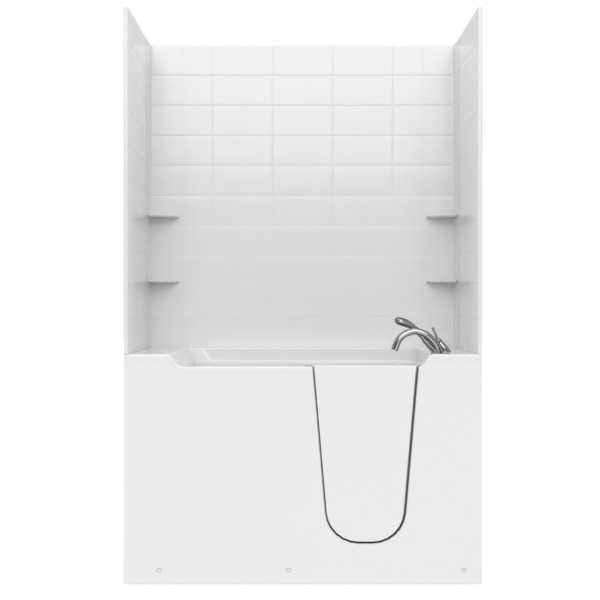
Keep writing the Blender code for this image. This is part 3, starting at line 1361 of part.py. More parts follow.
def groove_mesh(name, spans, run_end, inwards):
    """V-grooves in a flat face: each runs through its own span, and points inwards."""
    bm = bmesh.new()
    across = Vector(inwards).cross(Vector(run_end)).normalized()
    depth = Vector(inwards) * GROOVE_DEPTH
    proud = Vector(inwards) * -GROOVE_DEPTH
    for start in spans:
        rings = []
        for end in (Vector(start), Vector(start) + Vector(run_end)):
            wide = across * GROOVE_WIDTH
            rings.append([bm.verts.new(end + offset) for offset in (proud - wide, depth, proud + wide)])
        first, second = rings
        bm.faces.new(first)
        bm.faces.new(second)
        for index in range(3):
            after = (index + 1) % 3
            bm.faces.new((first[index], first[after], second[after], second[index]))
    return finish_mesh(bm, name)


def row_heights():
    return [WALL_BOTTOM + ROW_HEIGHT * row for row in range(1, TILE_ROWS)]


def make_back_wall():
    """The back panel: a slab between the side panels, with its tile joints pressed in."""
    half = WALL_INNER_SIDE - SEAT_GAP
    face = WALL_INNER_BACK
    panel = part("back_wall_panel", box_mesh(
        "back_wall_panel", (-half, face, WALL_BOTTOM), (half, BACK, WALL_TOP)
    ), "wall")
    rows = tool("back_row_grooves", groove_mesh(
        "back_row_grooves", [(-half - CUT_PAST, face, z) for z in row_heights()],
        (2 * half + 2 * CUT_PAST, 0, 0), (0, 1, 0)
    ))
    joints = [TILE_LENGTH * step / 2 for step in (-3, -1, 1, 3)]
    columns = tool("back_column_grooves", groove_mesh(
        "back_column_grooves", [(x, face, WALL_BOTTOM - CUT_PAST) for x in joints],
        (0, 0, WALL_HEIGHT + 2 * CUT_PAST), (0, 1, 0)
    ))
    cut(panel, rows, columns)


def make_side_wall(side, sign):
    """A side panel the full depth of the tub, with its rounded edge to the front."""
    inner, outer = sign * WALL_INNER_SIDE, sign * RIGHT
    name = side + "_wall_panel"
    panel = part(name, box_mesh(
        name, (min(inner, outer), FRONT, WALL_BOTTOM), (max(inner, outer), BACK, WALL_TOP)
    ), "wall")
    round_edges(panel, WALL_EDGE_ROUND, lambda co: co.y < FRONT + WELD_DISTANCE, 2)
    rows = tool(side + "_row_grooves", groove_mesh(
        side + "_row_grooves", [(inner, FRONT - CUT_PAST, z) for z in row_heights()],
        (0, TUB_DEPTH + 2 * CUT_PAST, 0), (sign, 0, 0)
    ))
    joints = tool(side + "_column_grooves", groove_mesh(
        side + "_column_grooves", [(inner, FRONT + SIDE_TILE_LENGTH, WALL_BOTTOM - CUT_PAST)],
        (0, 0, WALL_HEIGHT + 2 * CUT_PAST), (sign, 0, 0)
    ))
    cut(panel, rows, joints)


def make_corner_column(side, sign):
    """The L-shaped trim in a back corner, with the rows carried on across both its legs."""
    x_out = sign * (WALL_INNER_SIDE - SEAT_GAP)
    y_out = WALL_INNER_BACK - SEAT_GAP
    x_in, y_in = x_out - sign * COLUMN_THICKNESS, y_out - COLUMN_THICKNESS
    x_end = sign * (WALL_INNER_SIDE - COLUMN_LENGTH)
    y_end = WALL_INNER_BACK - COLUMN_LENGTH
    name = "corner_column_" + side
    outline = rounded_outline(
        ((x_out, y_end), (x_out, y_out), (x_end, y_out), (x_end, y_in), (x_in, y_in), (x_in, y_end)),
        (0, 0, 0, 0, COLUMN_INNER_ROUND, 0)
    )
    column = part(name, plate_mesh(name, outline, WALL_HEIGHT), "wall")
    column.location = (0, 0, (WALL_BOTTOM + WALL_TOP) / 2)
    back_grooves = tool(name + "_back_grooves", groove_mesh(
        name + "_back_grooves", [(x_end - sign * CUT_PAST, y_in, z) for z in row_heights()],
        (sign * (COLUMN_LENGTH + CUT_PAST), 0, 0), (0, 1, 0)
    ))
    side_grooves = tool(name + "_side_grooves", groove_mesh(
        name + "_side_grooves", [(x_in, y_end - CUT_PAST, z) for z in row_heights()],
        (0, COLUMN_LENGTH + CUT_PAST, 0), (sign, 0, 0)
    ))
    cut(column, back_grooves, side_grooves)


def make_shelf(side, sign, level, rise):
    """A corner shelf with a bowed front edge."""
    name = "shelf_" + side + "_" + level
    off_wall = COLUMN_THICKNESS + 2 * SEAT_GAP
    corner_x, corner_y = sign * (WALL_INNER_SIDE - off_wall), WALL_INNER_BACK - off_wall
    cut_corner = COLUMN_INNER_ROUND
    bow = []
    for step in range(1, ARC_STEPS + 2):
        angle = math.radians(90) * step / (ARC_STEPS + 2)
        bow.append((
            corner_x - sign * SHELF_LENGTH_BACK * math.cos(angle),
            corner_y - SHELF_LENGTH_SIDE * math.sin(angle),
        ))
    outline = [
        (corner_x - sign * cut_corner, corner_y),
        (corner_x - sign * SHELF_LENGTH_BACK, corner_y),
        *bow,
        (corner_x, corner_y - SHELF_LENGTH_SIDE),
        (corner_x, corner_y - cut_corner),
    ]
    shelf = part(name, plate_mesh(name, outline, SHELF_THICKNESS), "wall")
    low = DECK_HEIGHT + rise
    shelf.location = (0, 0, low + SHELF_THICKNESS / 2)
    round_all(shelf, SHELF_EDGE_ROUND)


def main():
    clear_scene()
    make_tub_shell()
    make_front_panel()
    make_panel_screws()
    make_base_frame()
    make_door_frame()
    make_hinge_pins()
    door = axis_empty("door_hinge_axis", (HINGE_X, HINGE_Y, 0))
    make_door_leaf(door)
    make_gasket(door)
    make_hinge_arms(door)
    make_latch(door)
    make_drain()
    make_overflow()
    make_spout()
    make_handset()
    make_valve()
    make_back_wall()
    for side, sign in (("left", -1), ("right", 1)):
        make_side_wall(side, sign)
        make_corner_column(side, sign)
        make_shelf(side, sign, "lower", SHELF_LOWER_RISE)
        make_shelf(side, sign, "upper", SHELF_UPPER_RISE)
    bpy.context.view_layer.update()


HINGE_HEIGHTS = {
    "upper": DOORWAY_BOTTOM + DOORWAY_HEIGHT * HINGE_UPPER_SHARE,
    "lower": DOORWAY_BOTTOM + DOORWAY_HEIGHT * HINGE_LOWER_SHARE,
}
HINGE_X = DOOR_X + doorway_half(FLANGE_TOP, FRAME_INNER + LEAF_FLANGE_WIDTH_HINGE) + HINGE_CLEAR
HINGE_Y = ARM_BACK - KNUCKLE_RADIUS
DRAIN_X = (WELL_LEFT + BASIN_RIGHT_LOWER) / 2
DECK_FITTINGS = {
    "spout": (RIGHT - SPOUT_END_IN, FRONT + SPOUT_FRONT_IN),
    "holder": (RIGHT - HOLDER_END_IN, FRONT + HOLDER_FRONT_IN),
    "valve": (RIGHT - VALVE_END_IN, FRONT + VALVE_FRONT_IN),
}
parts_collection = new_collection("walk_in_bathtub")
tools_collection = new_collection("cutters")

main()
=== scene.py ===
"""Looks for the walk-in bathtub: moulded acrylic, pressed tile walls, chrome deck fittings, steel frame."""

import json
import math

import bmesh
import bpy
import numpy as np
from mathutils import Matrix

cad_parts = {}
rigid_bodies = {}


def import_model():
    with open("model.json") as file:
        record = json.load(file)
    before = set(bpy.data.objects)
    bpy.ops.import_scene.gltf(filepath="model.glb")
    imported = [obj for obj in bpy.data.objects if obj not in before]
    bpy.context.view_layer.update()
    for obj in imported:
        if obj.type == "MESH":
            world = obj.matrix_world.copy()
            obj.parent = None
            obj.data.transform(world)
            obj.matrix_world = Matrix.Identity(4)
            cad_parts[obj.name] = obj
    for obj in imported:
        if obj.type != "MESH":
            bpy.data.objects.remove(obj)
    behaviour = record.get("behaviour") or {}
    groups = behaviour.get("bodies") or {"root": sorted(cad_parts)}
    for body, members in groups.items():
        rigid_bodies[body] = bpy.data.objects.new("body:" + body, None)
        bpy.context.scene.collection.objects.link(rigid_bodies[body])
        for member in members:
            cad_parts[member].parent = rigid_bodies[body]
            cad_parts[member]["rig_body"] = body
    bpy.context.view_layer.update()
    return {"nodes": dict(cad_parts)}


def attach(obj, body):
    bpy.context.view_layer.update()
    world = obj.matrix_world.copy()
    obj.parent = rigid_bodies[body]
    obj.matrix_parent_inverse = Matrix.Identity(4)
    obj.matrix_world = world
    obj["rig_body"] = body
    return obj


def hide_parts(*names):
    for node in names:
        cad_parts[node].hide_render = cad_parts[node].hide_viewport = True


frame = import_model()

# Camera, as the photograph was taken: level, square to the front, at shower head height
PICTURE_PIXELS, SENSOR_WIDTH = 600, 36.0
FRONT_SCALE = 0.004245
CAMERA_DISTANCE, CAMERA_HEIGHT, CAMERA_ACROSS = 4.90, 1.2085, -0.0125

# Places on the tub, the same as the solids
FRONT, BACK, RIGHT, LEFT = -0.381, 0.381, 0.762, -0.762
DECK, RIM_DROP = 0.978, 0.053
RIM = DECK - RIM_DROP
GAP, SKIN = 0.0003, 0.006
BASIN_FRONT, BASIN_BACK, BASIN_LEFT, BASIN_RIGHT, LEDGE = -0.333, 0.300, -0.566, 0.545, 0.913
LOWER_BACK, LOWER_LEFT, LOWER_RIGHT = 0.279, -0.545, 0.535
SEAT, SEAT_FILLET, BACKREST_RUN = 0.430, 0.040, 0.100
WELL_LEFT, WELL_LEAN, WELL_FLOOR, WELL_FILLET = 0.020, 0.020, 0.110, 0.030
DRAIN_X, DRAIN_Y, DRAIN_HOLE = 0.2775, 0.080, 0.0229
DOOR_X, DOOR_HALF, DOOR_BOTTOM, DOOR_CORNER = 0.266, 0.223, 0.177, 0.1405
DOOR_LEAN = math.tan(math.radians(4.93))
WALL_FACE_BACK, WALL_FACE_SIDE = 0.362, 0.743
WALL_BOTTOM, WALL_TOP, WALL_ROUND = 0.9783, 2.4513, 0.0035
ROW, TILE = 0.1473, 0.2946

# Tile joints, as pressed in the panels, and the corner columns and shelves
UPRIGHT_HALF, ROW_ABOVE, ROW_BELOW = 0.0052, 0.0066, 0.0010
ROW_DEPTH, UPRIGHT_DEPTH, SIDE_UPRIGHT_DEPTH = 0.0012, 0.0006, 0.0002
PILLOW_RUN, PILLOW_DEPTH, TOP_EDGE = 0.020, 0.0003, 0.004
COLUMN_LENGTH, COLUMN_THICK, COLUMN_FILLET = 0.1538, 0.0045, 0.005
COLUMN_THIN, COLUMN_SIDE_THIN, COLUMN_LEAST = 0.0017, 0.0001, 0.0002
SHELF_BACK, SHELF_SIDE, SHELF_THICK, SHELF_RIM, SHELF_DISH = 0.135, 0.112, 0.011, 0.009, 0.0012
SHELF_UNDER, SHELF_UNDER_IN, SHELF_UNDER_END, SHELF_ROUND = 0.0062, 0.016, 0.0242, 0.0024
SHELF_DISH_STEPS = ((0.004, 0.6), (0.012, 1))
SHELF_TAIL = ((0, -1), (-0.3, -0.3), (-1, 0))
SHELF_RISES = {"lower": 0.314, "upper": 0.630}

# Tub shell
PAST = 0.020
RIM_SLOPE = math.radians(52)
RIM_WIDTH, RIM_BLEND = 0.048, 0.062
RIM_BACK = FRONT + RIM_WIDTH + RIM_BLEND
RIM_SHOULDER, RIM_FILLET_LEFT, RIM_FILLET_RIGHT = 0.016, 0.035, 0.012
ARRIS, EDGE_FLAT, EDGE_ROUND, LIP_FRONT, LIP_SIDE = 0.007, 0.0008, 0.006, 0.025, 0.034
BASIN_CORNERS = (0.014, 0.012, 0.085, 0.085)
WELL_CORNERS = (0.020, 0.012, 0.085, 0.060)
LEAST_ROUND, RISER_ROUND, WELL_OVERLAP = 0.004, 0.012, 0.070
LEDGE_FILLET, LEDGE_ROUND, LEDGE_FALL, BASIN_LEAN = 0.006, 0.007, 0.002, 0.003
FLARE, FLARE_STEP = 0.049, 0.004
DOOR_EDGE = 0.0048
SHANK_HOLE, OVERFLOW_HOLE, OVERFLOW_Z = 0.0093, 0.0135, 0.820176

# Deck fittings: a name in SHARES is a curve or profile in shares of the lengths named beside it
FITTINGS = {"spout": (0.599, -0.245), "holder": (0.595, -0.185), "valve": (0.641, -0.130)}
SHANK, SHANK_BELOW, SHANK_CHAMFER = 0.008, 0.034, 0.001
SPOUT_REACH, SPOUT_HEIGHT, SPOUT_RADIUS = 0.199, 0.095, 0.0143
SPOUT_FOOT, SPOUT_FOOT_RUN, SPOUT_FLARE, SPOUT_LIP, SPOUT_CLEAR = 0.06, 0.16, 0.05, 0.0009, 0.002
SPOUT_SHARES = (
    (0, 0), (0.065, 0.326), (0.176, 0.61), (0.33, 0.863), (0.558, 1), (0.789, 0.83), (0.92, 0.558), (1, 0.137)
)
AERATOR_RADIUS, AERATOR_BORE, AERATOR_LENGTH, AERATOR_STAND = 0.0105, 0.0085, 0.012, 0.002
AERATOR_ROUND, AERATOR_RIDGE, AERATOR_RIDGES = 0.0006, 0.0004, 15
HOLDER_TILT, HOLDER_BASE, HOLDER_TOP, HOLDER_LENGTH, HOLDER_BORE = math.radians(44), 0.019, 0.0155, 0.085, 0.056
HOLDER_STEP, HOLDER_STEP_SHARE, HOLDER_COLLAR, HOLDER_COLLAR_SHARE = 0.003, 0.985, 0.002, 1.02
HANDSET_PLAY, HANDLE_RADIUS, HANDLE_STRAIGHT, HANDLE_REACH, HANDLE_END = 0.0006, 0.0115, 0.164, 0.242, 0.93
HEAD_BEND, SWELL, HEAD_THICK, HEAD_WIDE, HEAD_TIP = math.radians(26), 1.12, 0.0175, 0.031, 0.0008
HANDLE_SHARES = ((0, 1), (0.15, 1), (0.30, 1), (0.55, SWELL))
HEAD_SHARES = (
    (0.66, 0.82, 0.55), (0.76, 0.98, 0.84), (0.86, 1, 1),
    (0.94, 0.86, 0.86), (0.985, 0.55, 0.52), (1, 0.20, 0.20)
)
GRIP_RING, GRIP_GROOVE, GRIP_HALF = 0.098, 0.0005, 0.0011
FACE_FLAT, FACE_PLACE, FACE_LONG, FACE_WIDE = 0.20, 0.211, 0.0195, 0.0215
FACE_START, FACE_START_RUN, FACE_END, FACE_END_RUN = 0.186, 0.014, 0.236, 0.012
FACE_SHARES = (
    (0, -0.002), (1, -0.002), (1, 0.0008), (0.985, 0.0014),
    (0.95, 0.0016), (0.90, 0.0011), (0.5, 0.0014), (0, 0.0015)
)
NOZZLE_RINGS, NOZZLE_STAND = ((1, 0.0), (7, 0.38), (13, 0.72)), 0.0012
NOZZLE = ((0, -0.0006), (0.0013, -0.0006), (0.0010, 0.0012), (0.0007, 0.0015), (0.0004, 0.0010), (0, 0.0010))
VALVE_TILT, VALVE_BASE, VALVE_TOP, VALVE_LENGTH, VALVE_BEAD = math.radians(37), 0.0175, 0.0135, 0.052, 0.0010
VALVE_STEP, VALVE_STEP_SHARE, VALVE_NECK, VALVE_NECK_SHARE, VALVE_COLLAR = 0.002, 0.99, 0.005, 1.04, 0.003
CAP_RADIUS, CAP_HEIGHT, CAP_EDGE, CAP_SKIRT, SLOT_REACH, SLOT_ROUND = 0.0145, 0.018, 0.0006, 0.38, 0.80, 0.9
LEVER_RADIUS, LEVER_TIP, LEVER_LENGTH, LEVER_PLAY, LEVER_ROOT = 0.0050, 0.0072, 0.064, 0.0005, 0.0075
LEVER_LEAN, LEVER_ROUND, LEVER_END, LEVER_END_SHARE = math.radians(14), 0.001, 0.001, 0.6
LEVER_STRAIGHT, LEVER_FLARE_START, LEVER_FLARE_END, LEVER_FLARE, LEVER_BUTTON = 0.3, 3.2, 1.2, 0.86, 0.35

# Waste and overflow: a name in ROUNDS holds the radii of a profile's corners
KNOB_STEM, KNOB_RADIUS, KNOB_DEEP = 0.006, 0.026, 0.016
KNOB_ROUNDS = (0, 0.003, 0.002, 0.0005, 0, 0.001, 0)
GRIP_BAR_HALF, GRIP_BAR_ROUND, GRIP_BAR_END = 0.005, 0.0022, 0.85
PLATE_RADIUS, PLATE_THICK, PLATE_BEVEL, PLATE_SIDE, OVERFLOW_TAIL = 0.038, 0.007, 0.006, 0.45, 0.013
PLATE_ROUNDS = (0.0005, 0.005, 0.0015, 0.0003, 0, 0, 0)
DRAIN_BORE, FLANGE_RADIUS, FLANGE_HEIGHT, TAIL_RADIUS, TAIL_LENGTH = 0.018, 0.036, 0.003, 0.022, 0.030
FLANGE_ROUNDS = (0.001, 0.002, 0.0004, 0, 0.0005, 0.0005)
PLUG_RADIUS, PLUG_HEIGHT, PLUG_SKIRT, PLUG_EDGE, PLUG_UNDER = 0.029, 0.004, 0.25, 0.0006, 0.001
PLUG_STEM, PLUG_STEM_LENGTH, PLUG_STEM_TIP, PLUG_STEM_SHARE = 0.004, 0.024, 0.0015, 0.7
PIPE_RADIUS, PIPE_WALL, PIPE_BEND, PIPE_OFF_WALL = 0.019, 0.0025, 0.045, 0.024
TEE_RADIUS, TEE_BOTTOM, TEE_ROUND = 0.028, 0.012, 0.001
BRANCH_Z, BRANCH_RADIUS, BRANCH_LENGTH = 0.056, 0.023, 0.070

# Fixings and feet
SCREWS = {"left": -0.612, "middle": -0.060, "right": 0.682}
SCREW_Z, RECESS_DEEP, SCREW_RADIUS, SCREW_LENGTH = 0.059, 0.007, 0.0025, 0.034
SCREW_HEAD, SCREW_HEAD_HEIGHT, SCREW_SKIRT = 0.0075, 0.004, 0.2
CROSS_LONG, CROSS_THIN, CROSS_DEEP, CROSS_TAPER, CROSS_PAST = 0.0040, 0.0009, 0.0020, 0.55, 0.001
FEET_X = {"left": LEFT + 0.082, "middle": 0.0, "right": RIGHT - 0.082}
FEET_Y = {"front": -0.3344, "back": 0.345}
FOOT_RADIUS, FOOT_PAD, FOOT_NECK, FOOT_SHOULDER, FOOT_COLLAR = 0.026, 0.010, 0.012, 0.002, 0.0015
FOOT_ROUNDS = (0, 0.0015, 0.003, 0.004, 0.001, 0)
FOOT_STUD, RAIL_LOW, STUD_ABOVE, STUD_SUNK, STUD_CHAMFER = 0.006, 0.044, 0.014, 0.001, 0.001
THREAD_PITCH, THREAD_DEEP, NUT_RADIUS, NUT_TALL, NUT_ROUND = 0.0015, 0.0006, 0.0105, 0.008, 0.001

# Solids that only need their edges rounded, by finish and width
PLAIN_WORK = (
    ("acrylic", 0.0008, "front_panel"),
    ("acrylic", 0.0012, "door_leaf"),
    ("steel", 0.0006, "door_frame"),
    ("rubber", 0.0012, "door_gasket"),
    ("steel", 0.0008, "hinge_arm_upper hinge_arm_lower"),
    ("steel", 0.0005, "hinge_pin_upper hinge_pin_lower"),
    ("chrome", 0.0008, "latch_housing"),
    ("steel", 0.0003, "latch_bolt"),
    ("chrome", 0.0006, "latch_lever"),
    ("steel", 0.0008, "latch_keeper"),
    ("zinc", 0.0010, "base_rail_front base_rail_back cross_rail_left cross_rail_middle cross_rail_right"),
    ("zinc", 0.0010, "seat_post_front seat_post_back corner_post_left_front corner_post_left_back"),
    ("zinc", 0.0010, "corner_post_right_front corner_post_right_back spout_nut holder_nut valve_nut"),
)

# Studio, and the tones that it was balanced with
TENT_LOW, TENT_TOP, TENT_SIDES = 0.37, 0.78, 0.50
MIRROR_LOW, MIRROR_TOP, MIRROR_BACKDROP = 0.03, 1.10, 0.72
KEY_LIGHT, KEY_SPREAD, KEY_RISE = 1.11, 40, 26
FLOOR_HALF, FLOOR_GLOW = 30.0, 0.34
ACRYLIC_TONE, WALL_TONE, TONE_DRIFT = (0.792, 0.792, 0.794), (0.780, 0.780, 0.780), 0.012
CHROME_EDGE = (0.12, 0.12, 0.12, 1)


# Lines

def ease(share):
    """Runs from 0 to 1 with a level start and end: 3 s squared less 2 s cubed."""
    share = np.clip(share, 0, 1)
    return share * share * (3 - 2 * share)


def around(steps):
    """Angles evenly spaced once round."""
    return np.linspace(0, math.tau, steps, endpoint=False)


def columns(*parts):
    """Places whose coordinates are the parts, each a run of numbers or one number for all of them."""
    return np.stack(np.broadcast_arrays(*parts), axis=-1)


def arc(radius, steps, start=0.0, end=90.0):
    """Points of an arc about zero, between angles in degrees: the radius times their cosine and their sine."""
    angle = np.radians(np.linspace(start, end, steps))
    return radius * columns(np.cos(angle), np.sin(angle))


def catmull(knots, samples):
    """A Catmull-Rom curve through the knots, sampled at equal steps of its knot number."""
    knots = np.asarray(knots, float)
    ends = np.concatenate([[2 * knots[0] - knots[1]], knots, [2 * knots[-1] - knots[-2]]])
    place = np.linspace(0, len(knots) - 1, samples)
    span = np.minimum(place.astype(int), len(knots) - 2)
    t = (place - span)[:, None]
    a, b, c, d = ends[span], ends[span + 1], ends[span + 2], ends[span + 3]
    return (2 * b + (c - a) * t + (2 * a - 5 * b + 4 * c - d) * t**2 + (3 * b - a - 3 * c + d) * t**3) / 2


def rounded_line(corners, radii, steps=8):
    """A path whose corners are arcs tangent to both sides: each arc's centre lies on the corner's bisector,
    at the radius over the sine of half its angle. A radius of zero keeps the corner."""
    corners = np.asarray(corners, float)
    points = []
    for index, (corner, radius) in enumerate(zip(corners, radii)):
        if radius == 0:
            points.append(corner[None])
            continue
        back, ahead = corners[index - 1] - corner, corners[(index + 1) % len(corners)] - corner
        back, ahead = back / np.linalg.norm(back), ahead / np.linalg.norm(ahead)
        half = math.acos(np.clip(back @ ahead, -1, 1)) / 2
        middle = (back + ahead) / np.linalg.norm(back + ahead)
        centre = corner + middle * radius / math.sin(half)
        reach = radius / math.tan(half)
        first, last = corner + back * reach - centre, corner + ahead * reach - centre
        start = math.atan2(first[1], first[0])
        sweep = (math.atan2(last[1], last[0]) - start + math.pi) % math.tau - math.pi
        angle = start + sweep * np.linspace(0, 1, steps + 1)
        points.append(centre + radius * columns(np.cos(angle), np.sin(angle)))
    return np.concatenate(points)


def rectangle(half_x, half_y):
    """A rectangle's corners about zero, anticlockwise."""
    return np.array([(-half_x, -half_y), (half_x, -half_y), (half_x, half_y), (-half_x, half_y)])


def at_height(outline, height):
    """A flat outline as a ring at one height."""
    return np.insert(outline, 2, height, axis=1)


# Meshes and pieces

def smooth(mesh, sharp=35):
    """Shades a mesh smooth wherever its faces meet at less than an angle."""
    mesh.shade_smooth()
    mesh.set_sharp_from_angle(angle=math.radians(sharp))
    return mesh


def cleaned(mesh, closed=True, flat=0, sharp=35):
    """Merges a mesh's doubles, makes its flat faces whole where asked, and turns a closed one outwards."""
    bm = bmesh.new()
    bm.from_mesh(mesh)
    bmesh.ops.remove_doubles(bm, verts=bm.verts, dist=1e-5 if flat else 1e-6)
    bmesh.ops.dissolve_degenerate(bm, edges=bm.edges, dist=1e-6)
    if flat:
        bmesh.ops.dissolve_limit(bm, angle_limit=math.radians(flat), verts=bm.verts, edges=bm.edges)
    if closed:
        bmesh.ops.recalc_face_normals(bm, faces=bm.faces)
    bm.to_mesh(mesh)
    bm.free()
    return smooth(mesh, sharp)


def ring_mesh(rings, caps=True, sharp=35):
    """A closed mesh over a stack of rings, with one face over each end unless they close by themselves."""
    rings = np.asarray(rings)
    index = np.arange(rings[..., 0].size).reshape(rings.shape[:2])
    wide = np.concatenate([index, index[:, :1]], axis=1)
    faces = columns(wide[:-1, :-1], wide[:-1, 1:], wide[1:, 1:], wide[1:, :-1]).reshape(-1, 4).tolist()
    if caps:
        faces += [index[0][::-1].tolist(), index[-1].tolist()]
    mesh = bpy.data.meshes.new("rings")
    mesh.from_pydata(rings.reshape(-1, 3).tolist(), [], faces)
    return cleaned(mesh, sharp=sharp)


def joined_mesh(meshes):
    """Several meshes in one."""
    bm = bmesh.new()
    for mesh in meshes:
        bm.from_mesh(mesh)
        bpy.data.meshes.remove(mesh)
    mesh = bpy.data.meshes.new("joined")
    bm.to_mesh(mesh)
    bm.free()
    return smooth(mesh)


def in_scene(name, data):
    """An object in the scene, at the origin."""
    obj = bpy.data.objects.new(name, data)
    bpy.context.scene.collection.objects.link(obj)
    return obj


def piece(name, mesh, finish, node=None, body="tub", slot=None):
    """A finished piece. It rides on its body and stands for the node, if one is given. The slot argument is not
    used."""
    obj = in_scene(name, mesh)
    mesh.name = name
    mesh.materials.clear()
    mesh.materials.append(FINISHES[finish])
    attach(obj, body)
    slot or finish
    if node:
        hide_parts(node)
    return obj


def applied(obj):
    """The object with its modifiers made permanent, so that its mesh is final."""
    bpy.context.view_layer.update()
    graph = bpy.context.evaluated_depsgraph_get()
    mesh = bpy.data.meshes.new_from_object(obj.evaluated_get(graph))
    obj.modifiers.clear()
    obj.data = mesh
    return obj


def shaded(obj, sharp=35):
    """Shades a piece smooth up to an angle, its small faces giving way to the large flat ones beside them."""
    smooth(obj.data, sharp)
    even = obj.modifiers.new("even_faces", "WEIGHTED_NORMAL")
    even.mode = "FACE_AREA"
    even.weight = 100
    even.keep_sharp = True
    return applied(obj)


def solid(obj, operation, mesh):
    """Works a mesh into a piece for good."""
    other = in_scene("tool", mesh)
    boolean = obj.modifiers.new("tool", "BOOLEAN")
    boolean.operation = operation
    boolean.object = other
    applied(obj)
    bpy.data.objects.remove(other, do_unlink=True)


def add(obj, mesh):
    """Joins a mesh to a piece."""
    solid(obj, "UNION", mesh)


def cut(obj, mesh):
    """Cuts a mesh out of a piece."""
    solid(obj, "DIFFERENCE", mesh)


def softened(node, finish, width):
    """A copy of a solid, with its triangles merged into whole faces and its edges rounded."""
    source = frame["nodes"][node]
    mesh = cleaned(source.data.copy(), closed=False, flat=0.5)
    obj = piece(node + "_finished", mesh, finish, node, source["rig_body"])
    bevel = obj.modifiers.new("round_edges", "BEVEL")
    bevel.width = width
    bevel.segments = 2
    bevel.limit_method = "ANGLE"
    bevel.angle_limit = math.radians(40)
    return shaded(applied(obj))


# Finishes

class Signal:
    """A socket of a material. Sums, differences and products of signals add Math nodes."""

    def __init__(self, tree, socket):
        self.tree = tree
        self.socket = socket

    def node(self, kind, settings, sockets, output=0):
        """Any other node: its settings are set first, then the values or links of its sockets."""
        made = self.tree.nodes.new(kind)
        for name, setting in settings.items():
            setattr(made, name, setting)
        for key, value in sockets.items():
            if isinstance(value, Signal):
                self.tree.links.new(value.socket, made.inputs[key])
            else:
                made.inputs[key].default_value = value
        return Signal(self.tree, made.outputs[output])

    def math(self, operation, *others):
        """A Math node on this and any others."""
        return self.node("ShaderNodeMath", {"operation": operation}, dict(enumerate((self, *others))))

    def __add__(self, other):
        return self.math("ADD", other)

    def __sub__(self, other):
        return self.math("SUBTRACT", other)

    def __mul__(self, other):
        return self.math("MULTIPLY", other)

    def __rsub__(self, other):
        return (self * -1) + other

    __radd__ = __add__
    __rmul__ = __mul__

    def axis(self, number):
        """One of the coordinates: 0 for X, 1 for Y, 2 for Z."""
        return self.node("ShaderNodeSeparateXYZ", {}, {0: self}, output=number)

    def scaled(self, x, y, z):
        """Coordinates stretched by a factor along each axis."""
        return self.node("ShaderNodeMapping", {}, {"Vector": self, "Scale": (x, y, z)})

    def noise(self, scale, detail=2.0, roughness=0.5):
        """Cloudy noise from 0 to 1 on these coordinates."""
        sockets = {"Vector": self, "Scale": scale, "Detail": detail, "Roughness": roughness}
        return self.node("ShaderNodeTexNoise", {}, sockets)

    def between(self, low, high):
        """0 below low, 1 above high, and a straight run between."""
        return self.node("ShaderNodeMapRange", {}, {"Value": self, "From Min": low, "From Max": high})

    def blend(self, first, last):
        """A colour that runs from the first to the last as this goes from 0 to 1."""
        sockets = {"Factor": self, 6: (*first, 1), 7: (*last, 1)}
        return self.node("ShaderNodeMix", {"data_type": "RGBA"}, sockets, output=2)

    def bump(self, distance, strength=1.0):
        """A normal whose surface rises by a distance as this goes from 0 to 1."""
        return self.node("ShaderNodeBump", {}, {"Height": self, "Distance": distance, "Strength": strength})


def make_finish(name, constants, recipe):
    """A material: constants sit on the shader's own sockets, and the recipe gives what varies on it."""
    material = bpy.data.materials.new(name)
    material.use_nodes = True
    tree = material.node_tree
    shader = tree.nodes["Principled BSDF"]
    for socket, value in constants.items():
        shader.inputs[socket].default_value = value
    place = Signal(tree, tree.nodes.new("ShaderNodeTexCoord").outputs["Object"])
    for socket, value in recipe(place).items():
        tree.links.new(value.socket, shader.inputs[socket])
    return material


def surface(colour, roughness, normal):
    """What varies on a finish, by the shader's sockets."""
    return {"Base Color": colour, "Roughness": roughness, "Normal": normal}


def gloss_white(tone, rough, wave):
    """Vacuum-formed sheet: an even white with a faint drift of tone, a long ripple and fine orange peel."""
    def recipe(place):
        drift, haze = place.noise(1.3), place.noise(9.0, 3.0)
        ripple = place.noise(6.0, 1.0) * wave + place.noise(260.0, 1.0) * 0.02
        ends = [[value * (1 + change) for value in tone] for change in (-TONE_DRIFT, TONE_DRIFT)]
        return surface(drift.blend(*ends), haze.between(0.3, 0.7) * 0.05 + rough, ripple.bump(0.0012))
    return recipe


def polished_chrome(place):
    """Plated metal: near-mirror, with dried water spots and fine wiping marks."""
    spots = place.noise(210.0, 1.0).between(0.66, 0.74)
    wipes = place.scaled(1, 1, 9).noise(160.0, 4.0, 0.7)
    film = place.noise(22.0, 3.0).between(0.4, 0.75)
    colour = film.blend((0.40, 0.40, 0.41), (0.33, 0.335, 0.345))
    return surface(colour, spots * 0.10 + wipes * 0.03 + film * 0.03 + 0.035, wipes.bump(0.00002, 0.3))


def brushed_steel(place):
    """Stainless sheet, brushed along its length, with a slightly darker tone in the grain."""
    grain = place.scaled(40, 40, 1.2).noise(60.0, 5.0, 0.7)
    colour = grain.blend((0.38, 0.38, 0.385), (0.50, 0.50, 0.505))
    return surface(colour, grain * 0.14 + place.noise(14.0, 3.0) * 0.08 + 0.38, grain.bump(0.00008, 0.5))


def enamelled(place):
    """White enamel on the screw heads, a little worn and dusty where the driver turns."""
    wear = place.noise(900.0, 3.0, 0.6).between(0.62, 0.78)
    colour = wear.blend((0.80, 0.80, 0.80), (0.58, 0.58, 0.575))
    return surface(colour, wear * 0.25 + 0.22, wear.bump(0.00004, 0.4))


